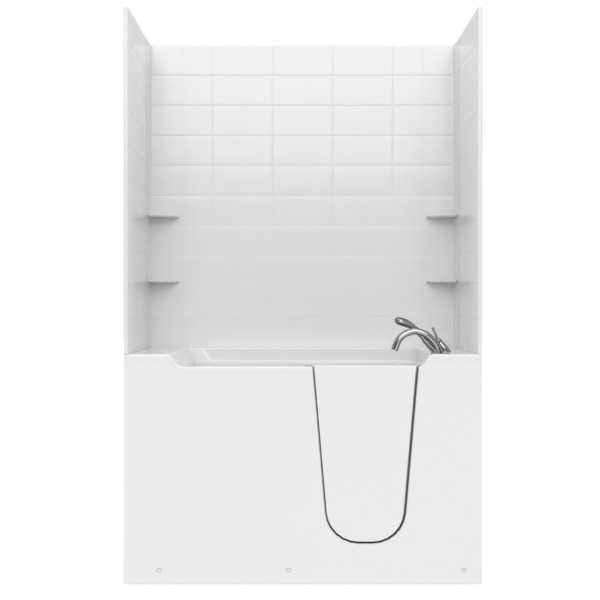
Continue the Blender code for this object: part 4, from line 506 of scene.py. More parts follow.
def galvanised(place):
    """Zinc-coated steel: pale crystal patches with soft borders, dull and slightly pitted."""
    patches = place.node("ShaderNodeTexVoronoi", {"feature": "F1"}, {"Vector": place, "Scale": 90.0}, output=1)
    patches = patches.node("ShaderNodeSeparateColor", {}, {0: patches})
    dust = place.noise(35.0, 4.0)
    colour = (patches * 0.7 + dust * 0.3).blend((0.36, 0.37, 0.38), (0.60, 0.61, 0.62))
    return surface(colour, patches * 0.18 + dust * 0.12 + 0.30, dust.bump(0.00015, 0.5))


def moulded_rubber(place):
    """Black seal rubber, matt, with a dusty bloom."""
    bloom = place.noise(30.0, 4.0, 0.6)
    colour = bloom.between(0.45, 0.75).blend((0.022, 0.022, 0.023), (0.060, 0.060, 0.062))
    return surface(colour, bloom * 0.20 + 0.60, place.noise(420.0).bump(0.0001, 0.4))


def waste_plastic(place):
    """Off-white waste pipe, satin, with flow marks and a little grime."""
    flow = place.scaled(1, 1, 4).noise(18.0, 3.0)
    grime = place.noise(7.0, 5.0, 0.65).between(0.5, 0.8)
    colour = grime.blend((0.78, 0.78, 0.755), (0.66, 0.655, 0.62))
    return surface(colour, flow * 0.12 + grime * 0.15 + 0.32, flow.bump(0.0002, 0.4))


def moulded_black(place):
    """Grained black plastic of the feet and the spray face."""
    grain, dust = place.noise(700.0), place.noise(28.0, 4.0, 0.6).between(0.45, 0.8)
    colour = dust.blend((0.028, 0.028, 0.030), (0.085, 0.083, 0.080))
    return surface(colour, dust * 0.2 + grain * 0.1 + 0.42, grain.bump(0.00012, 0.5))


FINISHES = {
    "acrylic": make_finish("white_acrylic", {"IOR": 1.49}, gloss_white(ACRYLIC_TONE, 0.07, 0.12)),
    "wall": make_finish("wall_acrylic", {"IOR": 1.49}, gloss_white(WALL_TONE, 0.10, 0.25)),
    "chrome": make_finish("polished_chrome", {"Metallic": 1.0, "Specular Tint": CHROME_EDGE}, polished_chrome),
    "steel": make_finish("brushed_steel", {"Metallic": 1.0}, brushed_steel),
    "zinc": make_finish("galvanised_steel", {"Metallic": 1.0}, galvanised),
    "enamel": make_finish("white_enamel", {}, enamelled),
    "rubber": make_finish("seal_rubber", {}, moulded_rubber),
    "pipe": make_finish("waste_pipe", {}, waste_plastic),
    "black_plastic": make_finish("black_plastic", {}, moulded_black),
}


# Studio

def make_camera():
    """A level camera, square to the front, whose lens gives the front plane its scale in the picture."""
    lens = bpy.data.cameras.new("camera")
    lens.sensor_width = SENSOR_WIDTH
    lens.lens = SENSOR_WIDTH * CAMERA_DISTANCE / (PICTURE_PIXELS * FRONT_SCALE)
    camera = in_scene("camera", lens)
    camera.location = (CAMERA_ACROSS, FRONT - CAMERA_DISTANCE, CAMERA_HEIGHT)
    camera.rotation_euler = (math.radians(90), 0, 0)
    bpy.context.scene.camera = camera


def make_light():
    """A white surround, dimmer from below and brighter from both sides, that looks darker low down in mirrors,
    and one broad soft light from the front."""
    world = bpy.data.worlds.new("light_tent")
    bpy.context.scene.world = world
    world.use_nodes = True
    tree = world.node_tree
    path = tree.nodes.new("ShaderNodeLightPath").outputs
    seen, mirrored = Signal(tree, path["Is Camera Ray"]), Signal(tree, path["Is Glossy Ray"])
    place = Signal(tree, tree.nodes.new("ShaderNodeTexCoord").outputs["Generated"])
    height, behind = place.axis(2), place.axis(1).between(0.0, 0.4)
    side = place.axis(0).math("ABSOLUTE").between(0.35, 0.85)
    tent = height.between(-0.25, 0.25) * (TENT_TOP - TENT_LOW) + side * TENT_SIDES + TENT_LOW
    room = height.between(0.05, 0.75) * (MIRROR_TOP - MIRROR_LOW) + MIRROR_LOW
    mirror = room + behind * (MIRROR_BACKDROP - room)
    strength = tent + seen * (1 - tent) + mirrored * (mirror - tent)
    background = tree.nodes["Background"]
    background.inputs["Color"].default_value = (1, 1, 1, 1)
    tree.links.new(strength.socket, background.inputs["Strength"])
    lamp = bpy.data.lights.new("key", "SUN")
    lamp.energy = KEY_LIGHT
    lamp.angle = math.radians(KEY_SPREAD)
    in_scene("key", lamp).rotation_euler = (math.radians(90 - KEY_RISE), 0, 0)
    bpy.context.scene.view_settings.view_transform = "Standard"


def make_floor():
    """A plain pale floor that glows a little, so that it runs into the surround, and throws no light back."""
    mesh = bpy.data.meshes.new("floor")
    mesh.from_pydata(at_height(rectangle(FLOOR_HALF, FLOOR_HALF), 0).tolist(), [], [(0, 1, 2, 3)])
    mesh.materials.append(make_finish(
        "floor", {"Emission Color": (1, 1, 1, 1), "Emission Strength": FLOOR_GLOW, "Roughness": 0.9},
        lambda place: {"Base Color": place.noise(3.0).blend((0.90, 0.90, 0.90), (0.92, 0.92, 0.92))}
    ))
    floor = in_scene("floor", mesh)
    floor.visible_diffuse = False


# Walls

def joint_depth(offset, depth, below=UPRIGHT_HALF, above=UPRIGHT_HALF):
    """Depth of a pressed joint at an offset from its line: a groove with eased sides, and the tile's face
    falling to it by the square of the nearness."""
    share = np.where(offset < 0, -offset / below, offset / above)
    return depth * ease(1 - share) + PILLOW_DEPTH * np.clip(1 - np.abs(offset) / PILLOW_RUN, 0, 1) ** 2


def deepest_joint(places, joints, depth, *halves):
    """The depth of whichever joint is nearest, at each place."""
    return np.max([joint_depth(places - joint, depth, *halves) for joint in joints], axis=0)


def stations(low, high, joints, below=UPRIGHT_HALF, above=UPRIGHT_HALF):
    """Places from low to high, close together across each joint."""
    pillow = PILLOW_RUN * np.array([-1, -0.5, 0.5, 1])
    near = np.concatenate([np.linspace(-below, 0, 5), np.linspace(0, above, 6), pillow])
    places = np.concatenate([[low, high], *(joint + near for joint in joints)])
    return np.unique(np.round(places[(places >= low) & (places <= high)], 6))


def pressed_panel(name, node, section, sink, own):
    """Carries a closed plan section up the wall's heights. Each point sinks along its own direction by the
    row joints' depth, or by its upright joint's depth where that is more."""
    joints = [WALL_BOTTOM + ROW * row for row in range(1, 10)]
    heights = np.append(stations(WALL_BOTTOM, WALL_TOP - TOP_EDGE, joints, ROW_BELOW, ROW_ABOVE), WALL_TOP)
    rows = deepest_joint(heights, joints, ROW_DEPTH, ROW_BELOW, ROW_ABOVE)
    depths = np.maximum(own, rows[:, None])[..., None]
    rings = [at_height(section + sink * depth, height) for depth, height in zip(depths, heights)]
    piece(name, ring_mesh(rings), "wall", node)


def make_back_tiles():
    """The back wall: its plan is a face with four upright joints, two straight ends and a back."""
    half = WALL_FACE_SIDE - GAP
    joints = [TILE * step / 2 for step in (-3, -1, 1, 3)]
    x = stations(-half, half, joints)
    section = np.concatenate([columns(x, WALL_FACE_BACK), [(half, BACK), (-half, BACK)]])
    sink = np.concatenate([np.tile((0.0, 1.0), (len(x), 1)), np.zeros((2, 2))])
    own = np.append(deepest_joint(x, joints, UPRIGHT_DEPTH), (0, 0))
    pressed_panel("back_wall_tiles", "back_wall_panel", section, sink, own)


def make_side_tiles(side, sign):
    """A side wall: its plan is a face with one upright joint, a straight back and two rounded front edges."""
    joint = (FRONT + WALL_FACE_BACK - COLUMN_LENGTH) / 2
    centre = FRONT + WALL_ROUND
    y = stations(centre, BACK, [joint])
    inner = arc(WALL_ROUND, 6, 180, 270)[:-1, ::-1] + [WALL_FACE_SIDE + WALL_ROUND, centre]
    outer = arc(WALL_ROUND, 6, 90, 180)[:, ::-1] + [RIGHT - WALL_ROUND, centre]
    section = np.concatenate([inner, columns(WALL_FACE_SIDE, y), [(RIGHT, BACK)], outer])
    end = len(inner) + len(y)
    sink, own = np.zeros_like(section), np.zeros(len(section))
    sink[1:end, 0] = section[1:end, 1] < WALL_FACE_BACK + GAP
    own[len(inner):end] = joint_depth(y - joint, SIDE_UPRIGHT_DEPTH)
    pressed_panel(side + "_wall_tiles", side + "_wall_panel", section * [sign, 1], sink * [sign, 1], own)


def make_corner_column(side, sign):
    """The trim's plan is an L whose legs thin evenly from the corner to their ends, so that it lies flush
    with the tiles. Its row joints sink as far as its thickness lets them."""
    corner = np.array([WALL_FACE_SIDE, WALL_FACE_BACK]) - GAP
    run = np.linspace(0, COLUMN_LENGTH - COLUMN_THICK - COLUMN_FILLET - GAP, 12)[:-1]
    thick = COLUMN_THIN + (COLUMN_THICK - COLUMN_THIN) * run / COLUMN_LENGTH
    side_thick = COLUMN_SIDE_THIN + (COLUMN_THICK - COLUMN_SIDE_THIN) * run / COLUMN_LENGTH
    bend = arc(1.0, 9, 90, 0)
    section = np.concatenate([
        columns(WALL_FACE_SIDE - COLUMN_LENGTH + run, corner[1] - thick),
        corner - COLUMN_THICK - COLUMN_FILLET + COLUMN_FILLET * bend,
        columns(corner[0] - side_thick, WALL_FACE_BACK - COLUMN_LENGTH + run)[::-1], [corner]
    ])
    leg = np.ones((len(run), 1))
    sink = np.concatenate([leg * [0, 1], bend, leg * [1, 0], np.zeros((1, 2))])
    room = np.concatenate([thick, np.full(len(bend), COLUMN_THICK), side_thick[::-1], [0]]) - COLUMN_LEAST
    sink *= np.clip(room / (ROW_DEPTH + PILLOW_DEPTH), 0, 1)[:, None]
    pressed_panel("column_" + side, "corner_column_" + side, section * [sign, 1], sink * [sign, 1], 0 * room)


def make_shelf(side, sign, level, rise):
    """A corner shelf: a quarter ellipse whose front edge is cut back below, with a shallow dish in its top.
    Each ring is the outline, drawn in towards the corner by the ring's inset."""
    corner = np.array([WALL_FACE_SIDE, WALL_FACE_BACK]) - COLUMN_THICK - 2 * GAP
    bow, tail = -arc(1.0, 49) * [SHELF_BACK, SHELF_SIDE], COLUMN_FILLET * np.array(SHELF_TAIL)
    outline = np.concatenate([bow, tail])
    pull = np.repeat([1, 0], [len(bow), len(tail)]) / np.linalg.norm(outline, axis=1)
    low, high = DECK + rise, DECK + rise + SHELF_THICK
    edge = rounded_line([
        (SHELF_UNDER_END, low), (SHELF_UNDER_IN, low), (0, low + SHELF_UNDER), (0, high), (SHELF_RIM, high)
    ], (0, SHELF_ROUND, SHELF_ROUND, SHELF_ROUND, 0), 5)
    dish = [(SHELF_RIM + run, high - SHELF_DISH * share) for run, share in SHELF_DISH_STEPS]
    rings = [
        at_height((outline * (1 - pull * inset)[:, None] + corner) * [sign, 1], height)
        for inset, height in [*edge, *dish]
    ]
    name = "shelf_" + side + "_" + level
    piece(name + "_moulded", ring_mesh(rings), "wall", name)


# Tub shell

def rim_line():
    """The line of the deck's front edge: level, then down a filleted slope to the rim in front of the basin."""
    run = RIM_DROP / math.tan(RIM_SLOPE)
    corners = [(LEFT, DECK), (BASIN_LEFT, DECK), (BASIN_LEFT + run, RIM),
               (BASIN_RIGHT - run, RIM), (BASIN_RIGHT, DECK), (RIGHT, DECK)]
    return rounded_line(corners, (0, RIM_SHOULDER, RIM_FILLET_LEFT, RIM_FILLET_RIGHT, RIM_SHOULDER, 0), 14)


def doorway_line(top):
    """The U of the doorway from its left top to its right top. Its half width grows with the height, by the
    tangent of its sides' lean."""
    low = DOOR_BOTTOM - DOOR_EDGE
    half = DOOR_HALF + DOOR_EDGE * math.hypot(1, DOOR_LEAN)
    at_top, at_low = half + (top - RIM) * DOOR_LEAN, half + (low - RIM) * DOOR_LEAN
    corners = [(DOOR_X - at_top, top), (DOOR_X - at_low, low), (DOOR_X + at_low, low), (DOOR_X + at_top, top)]
    return rounded_line(corners, (0, DOOR_CORNER + DOOR_EDGE, DOOR_CORNER + DOOR_EDGE, 0), 24)


def prism_mesh(outline, front, back):
    """A closed outline in X and Z, carried straight from front to back."""
    return ring_mesh([np.insert(outline, 1, y, axis=1) for y in (front, back)])


def box_mesh(low, high):
    """A box from its left front bottom corner to its right back top corner."""
    outline = np.array([(low[0], low[2]), (high[0], low[2]), (high[0], high[2]), (low[0], high[2])])
    return prism_mesh(outline, low[1], high[1])


def plan_ring(sides, radii, grow, height):
    """A rounded rectangle at a height, from its front left corner anticlockwise, grown outwards all round.
    The sides are its left, right and back, and its front is the basin's."""
    left, right, back = np.asarray(sides) + [-grow, grow, grow]
    front = BASIN_FRONT - grow
    corners = [(left, front), (right, front), (right, back), (left, back)]
    return at_height(rounded_line(corners, [max(radius + grow, LEAST_ROUND) for radius in radii], 20), height)


def basin_rings(grow, round_top):
    """The basin from the deck down to the seat as a stack of rounded rectangles, grown outwards by a wall for
    its outer face. The inner face rolls over at the deck, over both edges of its ledge, and into the seat.
    Above the ledge its left end flares out, as a shoulder to lean on."""
    def ring(sides, height, inset=0.0):
        return plan_ring(sides, BASIN_CORNERS, grow - inset, height)

    top = np.array([BASIN_LEFT, BASIN_RIGHT, BASIN_BACK])
    ledge = top + [FLARE, -BASIN_LEAN, -BASIN_LEAN]
    lower = np.array([BASIN_LEFT + FLARE + FLARE_STEP, LOWER_RIGHT, LOWER_BACK])
    foot = np.array([LOWER_LEFT + BACKREST_RUN, LOWER_RIGHT, LOWER_BACK])
    if round_top:
        rings = [ring(top, DECK + PAST, -EDGE_ROUND)]
        for cosine, sine in arc(1.0, 8, 90, 0):
            fall = EDGE_ROUND * (1 - sine)
            flare = [FLARE * fall / (DECK - LEDGE), 0, 0]
            rings.append(ring(top + flare, DECK - fall, EDGE_ROUND * (cosine - 1)))
    else:
        rings = [ring(top, DECK - SKIN / 2)]
    half_width = np.abs(lower - ledge) / 2
    fillet = [1, -1, -1] * np.minimum(LEDGE_FILLET, half_width)
    rounding = [1, -1, -1] * np.minimum(LEDGE_ROUND, half_width)
    for cosine, sine in arc(1.0, 6):
        height = LEDGE - grow + LEDGE_FILLET * (1 - sine)
        rings.append(ring(ledge + fillet * (1 - cosine), height))
    for cosine, sine in arc(1.0, 7):
        height = LEDGE - LEDGE_FALL - grow - LEDGE_ROUND * (1 - cosine)
        rings.append(ring(lower - rounding * (1 - sine), height))
    bend = SEAT_FILLET + grow
    for cosine, sine in arc(1.0, 13):
        rings.append(ring(foot, SEAT + SEAT_FILLET - bend * sine, bend * (1 - cosine)))
    return rings


def well_rings(grow, top, riser_round):
    """The footwell from above the seat to its floor. Its inner face rolls over the seat's front edge."""
    def ring(left, height, inset=0.0):
        return plan_ring((left, LOWER_RIGHT, LOWER_BACK), WELL_CORNERS, grow - inset, height)

    rings = [ring(WELL_LEFT - riser_round, top)]
    if riser_round:
        for cosine, sine in arc(1.0, 9, 90, 0):
            height = SEAT - riser_round * (1 - sine)
            rings.append(ring(WELL_LEFT - riser_round * (1 - cosine), height))
    bend = WELL_FILLET + grow
    for cosine, sine in arc(1.0, 13):
        height = WELL_FLOOR + WELL_FILLET - bend * sine
        rings.append(ring(WELL_LEFT + WELL_LEAN, height, bend * (1 - cosine)))
    return rings


def rim_mesh():
    """The tray's front strip: a profile in Y and Z, carried along the deck's front edge."""
    profile = np.array([
        (FRONT, -LIP_FRONT), (FRONT, -ARRIS - EDGE_FLAT), *(arc(ARRIS, 8, 180, 90) + [FRONT + ARRIS, -ARRIS]),
        (FRONT + ARRIS + EDGE_FLAT, 0), (RIM_BACK, 0), (RIM_BACK, -LIP_FRONT)
    ])
    return ring_mesh([np.insert(profile + [0, z], 0, x, axis=1) for x, z in rim_line()])


def make_tub():
    """The tray and its skin, the basin hung in it, then the openings cut through both."""
    above, below = DECK + PAST, RIM - RIM_DROP
    shell = piece("tub", rim_mesh(), "acrylic", "tub_shell")
    add(shell, box_mesh((LEFT, BASIN_FRONT + RIM_BLEND / 2, DECK - LIP_SIDE), (RIGHT, BACK, DECK)))
    line = rim_line() - [0, SKIN]
    line[[0, -1], 0] += [SKIN, -SKIN]
    pocket = np.concatenate([line, [(RIGHT - SKIN, below), (LEFT + SKIN, below)]])
    cut(shell, prism_mesh(pocket, FRONT + SKIN, RIM_BACK - SKIN))
    cut(shell, box_mesh((LEFT + SKIN, RIM_BACK - 2 * SKIN, below), (RIGHT - SKIN, BACK - SKIN, DECK - SKIN)))
    basin = in_scene("basin", ring_mesh(basin_rings(SKIN, False)))
    over_rim = np.concatenate([rim_line() - [0, SKIN / 2], [(RIGHT, above), (LEFT, above)]])
    cut(basin, prism_mesh(over_rim, FRONT - PAST, RIM_BACK - SKIN))
    add(shell, basin.data)
    bpy.data.objects.remove(basin, do_unlink=True)
    add(shell, ring_mesh(well_rings(SKIN, SEAT + SEAT_FILLET / 2, 0)))
    cut(shell, ring_mesh(basin_rings(0, True)))
    cut(shell, ring_mesh(well_rings(0, SEAT + WELL_OVERLAP, RISER_ROUND)))
    cut(shell, prism_mesh(doorway_line(above), FRONT - PAST, BASIN_FRONT + PAST))
    holes = [(standing((x, y, DECK)), SHANK_HOLE) for x, y in FITTINGS.values()]
    holes.append((standing((DRAIN_X, DRAIN_Y, WELL_FLOOR)), DRAIN_HOLE))
    holes.append((facing_front((DRAIN_X, LOWER_BACK, OVERFLOW_Z)), OVERFLOW_HOLE))
    for seat, radius in holes:
        cut(shell, turned_mesh(rod(radius, -PAST, PAST), seat))
    shaded(shell, 32)


# Turned work

def standing(origin, lean=0.0):
    """A seat whose Z axis stands on the origin and leans to the left."""
    sine, cosine = math.sin(lean), math.cos(lean)
    return np.array(origin, float), np.array([(cosine, 0, sine), (0, 1, 0), (-sine, 0, cosine)])


def facing_front(origin):
    """A seat whose Z axis points out of the front."""
    return np.array(origin, float), np.array([(1.0, 0, 0), (0, 0, 1.0), (0, -1.0, 0)])


def facing_back(origin):
    """A seat whose Z axis points out of the back."""
    return np.array(origin, float), np.array([(1.0, 0, 0), (0, 0, -1.0), (0, 1.0, 0)])


def placed(local, seat):
    """Local coordinates carried onto a seat."""
    origin, axes = seat
    return origin + np.asarray(local) @ axes


def rod(radius, low, high, rounding=0, steps=4):
    """The profile of a rod, whose two edges can be rounded."""
    return rounded_line([(0, low), (radius, low), (radius, high), (0, high)], (0, rounding, rounding, 0), steps)


def dome(radius, height, skirt, steps, start, end=90.0):
    """The profile of a dome: part of an ellipse over an upright skirt, which is a share of the height."""
    return arc(1.0, steps, start, end) * [radius, height * (1 - skirt)] + [0, height * skirt]


def circles(radius, height, steps=64):
    """Rings about the Z axis: X is the radius times the cosine of the angle, and Y is it times the sine."""
    angle = around(steps)
    return columns(radius * np.cos(angle), radius * np.sin(angle), height)


def turned_mesh(profile, seat, steps=64, ring=False):
    """A profile of radius and height, turned once about its seat's Z axis. A ring's profile returns to its
    start."""
    profile = np.array([*profile, profile[0]] if ring else profile, float)
    return ring_mesh(placed(circles(profile[:, :1], profile[:, 1:], steps), seat), caps=False)


def swept_rings(path, radius, level):
    """Round sections along a path in one plane, and the path's directions. Each section turns between the
    plane's own direction across the path and the level, which is the direction square to the plane."""
    tangent = np.gradient(path, axis=0)
    tangent /= np.linalg.norm(tangent, axis=1)[:, None]
    angle = around(48)[:, None]
    section = np.cross(level, tangent)[:, None] * np.cos(angle) + np.array(level) * np.sin(angle)
    return path[:, None] + np.broadcast_to(radius, len(path))[:, None, None] * section, tangent


def on_deck(x, y, outline):
    """Rings that close a fitting below: the shank's end and side, then the fitting's outline on the deck."""
    shank = np.array([
        (0, -SHANK_BELOW), (SHANK - SHANK_CHAMFER, -SHANK_BELOW),
        (SHANK, SHANK_CHAMFER - SHANK_BELOW), (SHANK, GAP)
    ])
    return np.concatenate([circles(shank[:, :1], shank[:, 1:], len(outline)) + [x, y, DECK], outline[None]])


def leaning_mesh(x, y, lean, profile):
    """A turned body that leans, with its lowest circle drawn out to the slanted line where it meets the deck:
    each line on it starts at the radius, times the cosine of its angle, times the tangent of the lean."""
    profile = np.array(profile, float)
    angle = around(64)
    height = profile[:, 1:] + 0 * angle
    height[0] = (GAP - profile[0, 0] * np.cos(angle) * math.sin(lean)) / math.cos(lean)
    rings = placed(circles(profile[:, :1], height), standing((x, y, DECK), lean))
    return ring_mesh(np.concatenate([on_deck(x, y, rings[0]), rings[1:]]), caps=False)


# Deck fittings

def make_spout():
    """A round section carried along the arch, its foot drawn out to the deck and its mouth bored, with the
    ridged screen of the aerator in the mouth."""
    x, y = FITTINGS["spout"]
    path = catmull([(x - SPOUT_REACH * across, y, DECK + SPOUT_HEIGHT * up) for across, up in SPOUT_SHARES], 85)
    travelled = np.linspace(0, 1, len(path))
    foot, flare = 1 - ease(travelled / SPOUT_FOOT_RUN), ease(travelled * 2 - 1)
    radius = SPOUT_RADIUS * (1 + SPOUT_FOOT * foot + SPOUT_FLARE * flare)
    rings, tangent = swept_rings(path, radius, (0, 1, 0))
    clear = int(np.argmax(rings[..., 2].min(axis=1) > DECK + SPOUT_CLEAR))
    rise = (rings[clear, :, 2:] - DECK - GAP) / tangent[clear, 2]
    end, out, wide = path[-1], tangent[-1], radius[-1]
    section = (rings[-1] - end) / wide
    bore = AERATOR_RADIUS + GAP
    lip = arc(SPOUT_LIP, 6) + [wide - SPOUT_LIP, -SPOUT_LIP]
    mouth = [
        end + section * across + out * along
        for across, along in [*lip, (bore, 0), (bore, -AERATOR_LENGTH), (0, -AERATOR_LENGTH)]
    ]
    rings = np.concatenate([on_deck(x, y, rings[clear] - tangent[clear] * rise), rings[clear:-1], mouth])
    piece("spout_arch", ring_mesh(rings, caps=False), "chrome", "spout")

    seat = (end - out * (AERATOR_LENGTH - GAP), np.array([np.cross(out, (0, 1, 0)), (0, 1, 0), out]))
    reach, deep = AERATOR_LENGTH - GAP + AERATOR_STAND, AERATOR_LENGTH / 2
    shares = np.linspace(0.97, 0.12, AERATOR_RIDGES)
    ridges = columns(AERATOR_BORE * shares, deep + AERATOR_RIDGE * (np.arange(AERATOR_RIDGES) % 2))
    lip = arc(AERATOR_ROUND, 4) + [AERATOR_RADIUS - AERATOR_ROUND, reach - AERATOR_ROUND]
    profile = [
        (0, 0), (AERATOR_RADIUS, 0), *lip, (AERATOR_BORE, reach), (AERATOR_BORE, deep), *ridges, (0, deep)
    ]
    piece("spout_aerator_screen", turned_mesh(profile, seat, 48), "steel", "spout_aerator")


def make_holder():
    """The leaning socket: a plain foot, a taper, a rounded rim and the bore that holds the handle."""
    hole = HANDLE_RADIUS + HANDSET_PLAY
    rim = (HOLDER_TOP - hole) / 2
    taper_end, bottom = HOLDER_LENGTH - HOLDER_TOP / 2, HOLDER_LENGTH - HOLDER_BORE
    profile = [
        (HOLDER_BASE, 0), (HOLDER_BASE, HOLDER_BASE),
        (HOLDER_BASE * HOLDER_STEP_SHARE, HOLDER_BASE + HOLDER_STEP),
        (HOLDER_TOP * HOLDER_COLLAR_SHARE, taper_end - HOLDER_COLLAR), (HOLDER_TOP, taper_end),
        *(arc(rim, 9, 0, 180) + [hole + rim, HOLDER_LENGTH - rim]), (hole, bottom), (0, bottom)
    ]
    piece("handset_socket", leaning_mesh(*FITTINGS["holder"], HOLDER_TILT, profile), "chrome", "handset_holder")


def handset_frame(reach):
    """Centre, across and ahead directions at places up the handset: straight, then bent over a rounded
    knee towards the head."""
    turn = HEAD_BEND * ease(((reach - HANDLE_STRAIGHT) / HEAD_WIDE + 1) / 2)
    sine, cosine = np.sin(turn), np.cos(turn)
    steps = np.diff(reach, prepend=reach[0])
    centre = columns(-np.cumsum(sine * steps), 0.0, reach[0] + np.cumsum(cosine * steps))
    return centre, columns(cosine, 0.0, sine), columns(-sine, 0.0, cosine)


def make_handset():
    """A handle that swells into a flattened head. Each ring is an ellipse whose two half widths follow
    smooth curves up the handset, and the head's underside is planed flat for the spray face."""
    seat = standing((*FITTINGS["holder"], DECK), HOLDER_TILT)
    start = HOLDER_LENGTH - HOLDER_BORE + GAP
    handle = [(share, HANDLE_RADIUS * swell, HANDLE_RADIUS * swell) for share, swell in HANDLE_SHARES]
    head = [(share, HEAD_THICK * thick, HEAD_WIDE * wide) for share, thick, wide in HEAD_SHARES]
    curve = catmull(handle + head, 121)
    share, thick, wide = curve[np.append(True, np.diff(curve[:, 0]) > 1e-6)].T
    reach = start + (HANDLE_REACH - start) * share
    groove = GRIP_GROOVE * np.exp(-((reach - GRIP_RING) / GRIP_HALF) ** 2)
    planed = ease((reach - FACE_START) / FACE_START_RUN) * ease((FACE_END - reach) / FACE_END_RUN)
    flat = HEAD_THICK * (1 - FACE_FLAT * planed)
    centre, across, ahead = handset_frame(reach)
    angle = around(64)
    side = np.maximum((thick - groove)[:, None] * np.cos(angle), -flat[:, None])[..., None]
    level = ((wide - groove)[:, None] * np.sin(angle))[..., None]
    rings = centre[:, None] + across[:, None] * side + level * [0, 1, 0]
    bottom, tip = centre[0] + 0 * rings[0], centre[-1] + ahead[-1] * HEAD_TIP + 0 * rings[0]
    rings = np.concatenate([[bottom, rings[0] * [HANDLE_END, HANDLE_END, 1]], rings[1:], [tip]])
    piece("handset_shell", ring_mesh(placed(rings, seat), caps=False, sharp=50), "chrome", "handset", "handset")

    middle = int(np.argmin(np.abs(reach - FACE_PLACE)))
    along, out = ahead[middle], -across[middle]
    axes = np.array([along, np.cross(out, along), out]) @ seat[1]
    face_seat = (placed(centre[middle] + out * HEAD_THICK * (1 - FACE_FLAT), seat), axes)
    shares = np.array(FACE_SHARES)
    rings = circles(shares[:, :1], shares[:, 1:]) * [FACE_LONG, FACE_WIDE, 1]
    piece("spray_face", ring_mesh(placed(rings, face_seat), caps=False), "black_plastic", body="handset")
    nozzles = []
    for count, share in NOZZLE_RINGS:
        for turn in around(count):
            place = (math.cos(turn) * FACE_LONG * share, math.sin(turn) * FACE_WIDE * share, NOZZLE_STAND)
            nozzles.append(turned_mesh(NOZZLE, (placed(place, face_seat), axes), 12))
    piece("spray_nozzles", joined_mesh(nozzles), "rubber", body="handset")


def make_valve():
    """The mixer: a leaning body with a bead at its top, a domed cap with a slot, and a flared stick lever."""
    x, y = FITTINGS["valve"]
    origin, axes = standing((x, y, DECK), VALVE_TILT)
    profile = [
        (VALVE_BASE, 0), (VALVE_BASE, VALVE_BASE), (VALVE_BASE * VALVE_STEP_SHARE, VALVE_BASE + VALVE_STEP),
        (VALVE_TOP * VALVE_NECK_SHARE, VALVE_LENGTH - VALVE_NECK), (VALVE_TOP, VALVE_LENGTH - VALVE_COLLAR),
        *(arc(VALVE_BEAD, 5) + [VALVE_TOP - VALVE_BEAD, VALVE_LENGTH - VALVE_BEAD]), (0, VALVE_LENGTH)
    ]
    piece("valve_body_turned", leaning_mesh(x, y, VALVE_TILT, profile), "chrome", "valve_body")

    seat = (origin + axes[2] * (VALVE_LENGTH + GAP), axes)
    profile = [
        (0, 0), (CAP_RADIUS - CAP_EDGE, 0), (CAP_RADIUS, CAP_EDGE),
        *dome(CAP_RADIUS, CAP_HEIGHT, CAP_SKIRT, 14, 8, 78), (0, CAP_HEIGHT)
    ]
    cap = piece("valve_cap_domed", turned_mesh(profile, seat), "chrome", "valve_cap", "valve_cap")
    half, pivot = LEVER_RADIUS + LEVER_PLAY, CAP_HEIGHT / 2
    outline = rounded_line(rectangle(CAP_RADIUS * SLOT_REACH, half), [half * SLOT_ROUND] * 4)
    slot = [at_height(outline, height) for height in (pivot - LEVER_ROOT - LEVER_PLAY, CAP_HEIGHT + PAST)]
    cut(cap, ring_mesh(placed(slot, seat)))
    shaded(cap)

    origin, axes = seat = standing(seat[0] + axes[2] * pivot, VALVE_TILT - LEVER_LEAN)
    button = LEVER_TIP * LEVER_BUTTON
    stick = catmull([
        (LEVER_RADIUS, 0), (LEVER_RADIUS, LEVER_LENGTH * LEVER_STRAIGHT),
        (LEVER_RADIUS, LEVER_LENGTH - LEVER_TIP * LEVER_FLARE_START),
        (LEVER_TIP * LEVER_FLARE, LEVER_LENGTH - LEVER_TIP * LEVER_FLARE_END),
        (LEVER_TIP, LEVER_LENGTH - button)
    ], 30)
    profile = [
        (0, -LEVER_END), (LEVER_RADIUS * LEVER_END_SHARE, -LEVER_END), *stick,
        *(dome(LEVER_TIP, button, 0, 7, 0)[1:] + [0, LEVER_LENGTH - button])
    ]
    lever = piece("valve_lever_turned", turned_mesh(profile, seat, 48), "chrome", "valve_lever", "valve_lever")
    drum = rod(LEVER_ROOT, -LEVER_RADIUS, LEVER_RADIUS, LEVER_ROUND, 3)
    add(lever, turned_mesh(drum, (origin, np.array([axes[0], axes[2], -axes[1]])), 40))
    shaded(lever)


# Waste and overflow

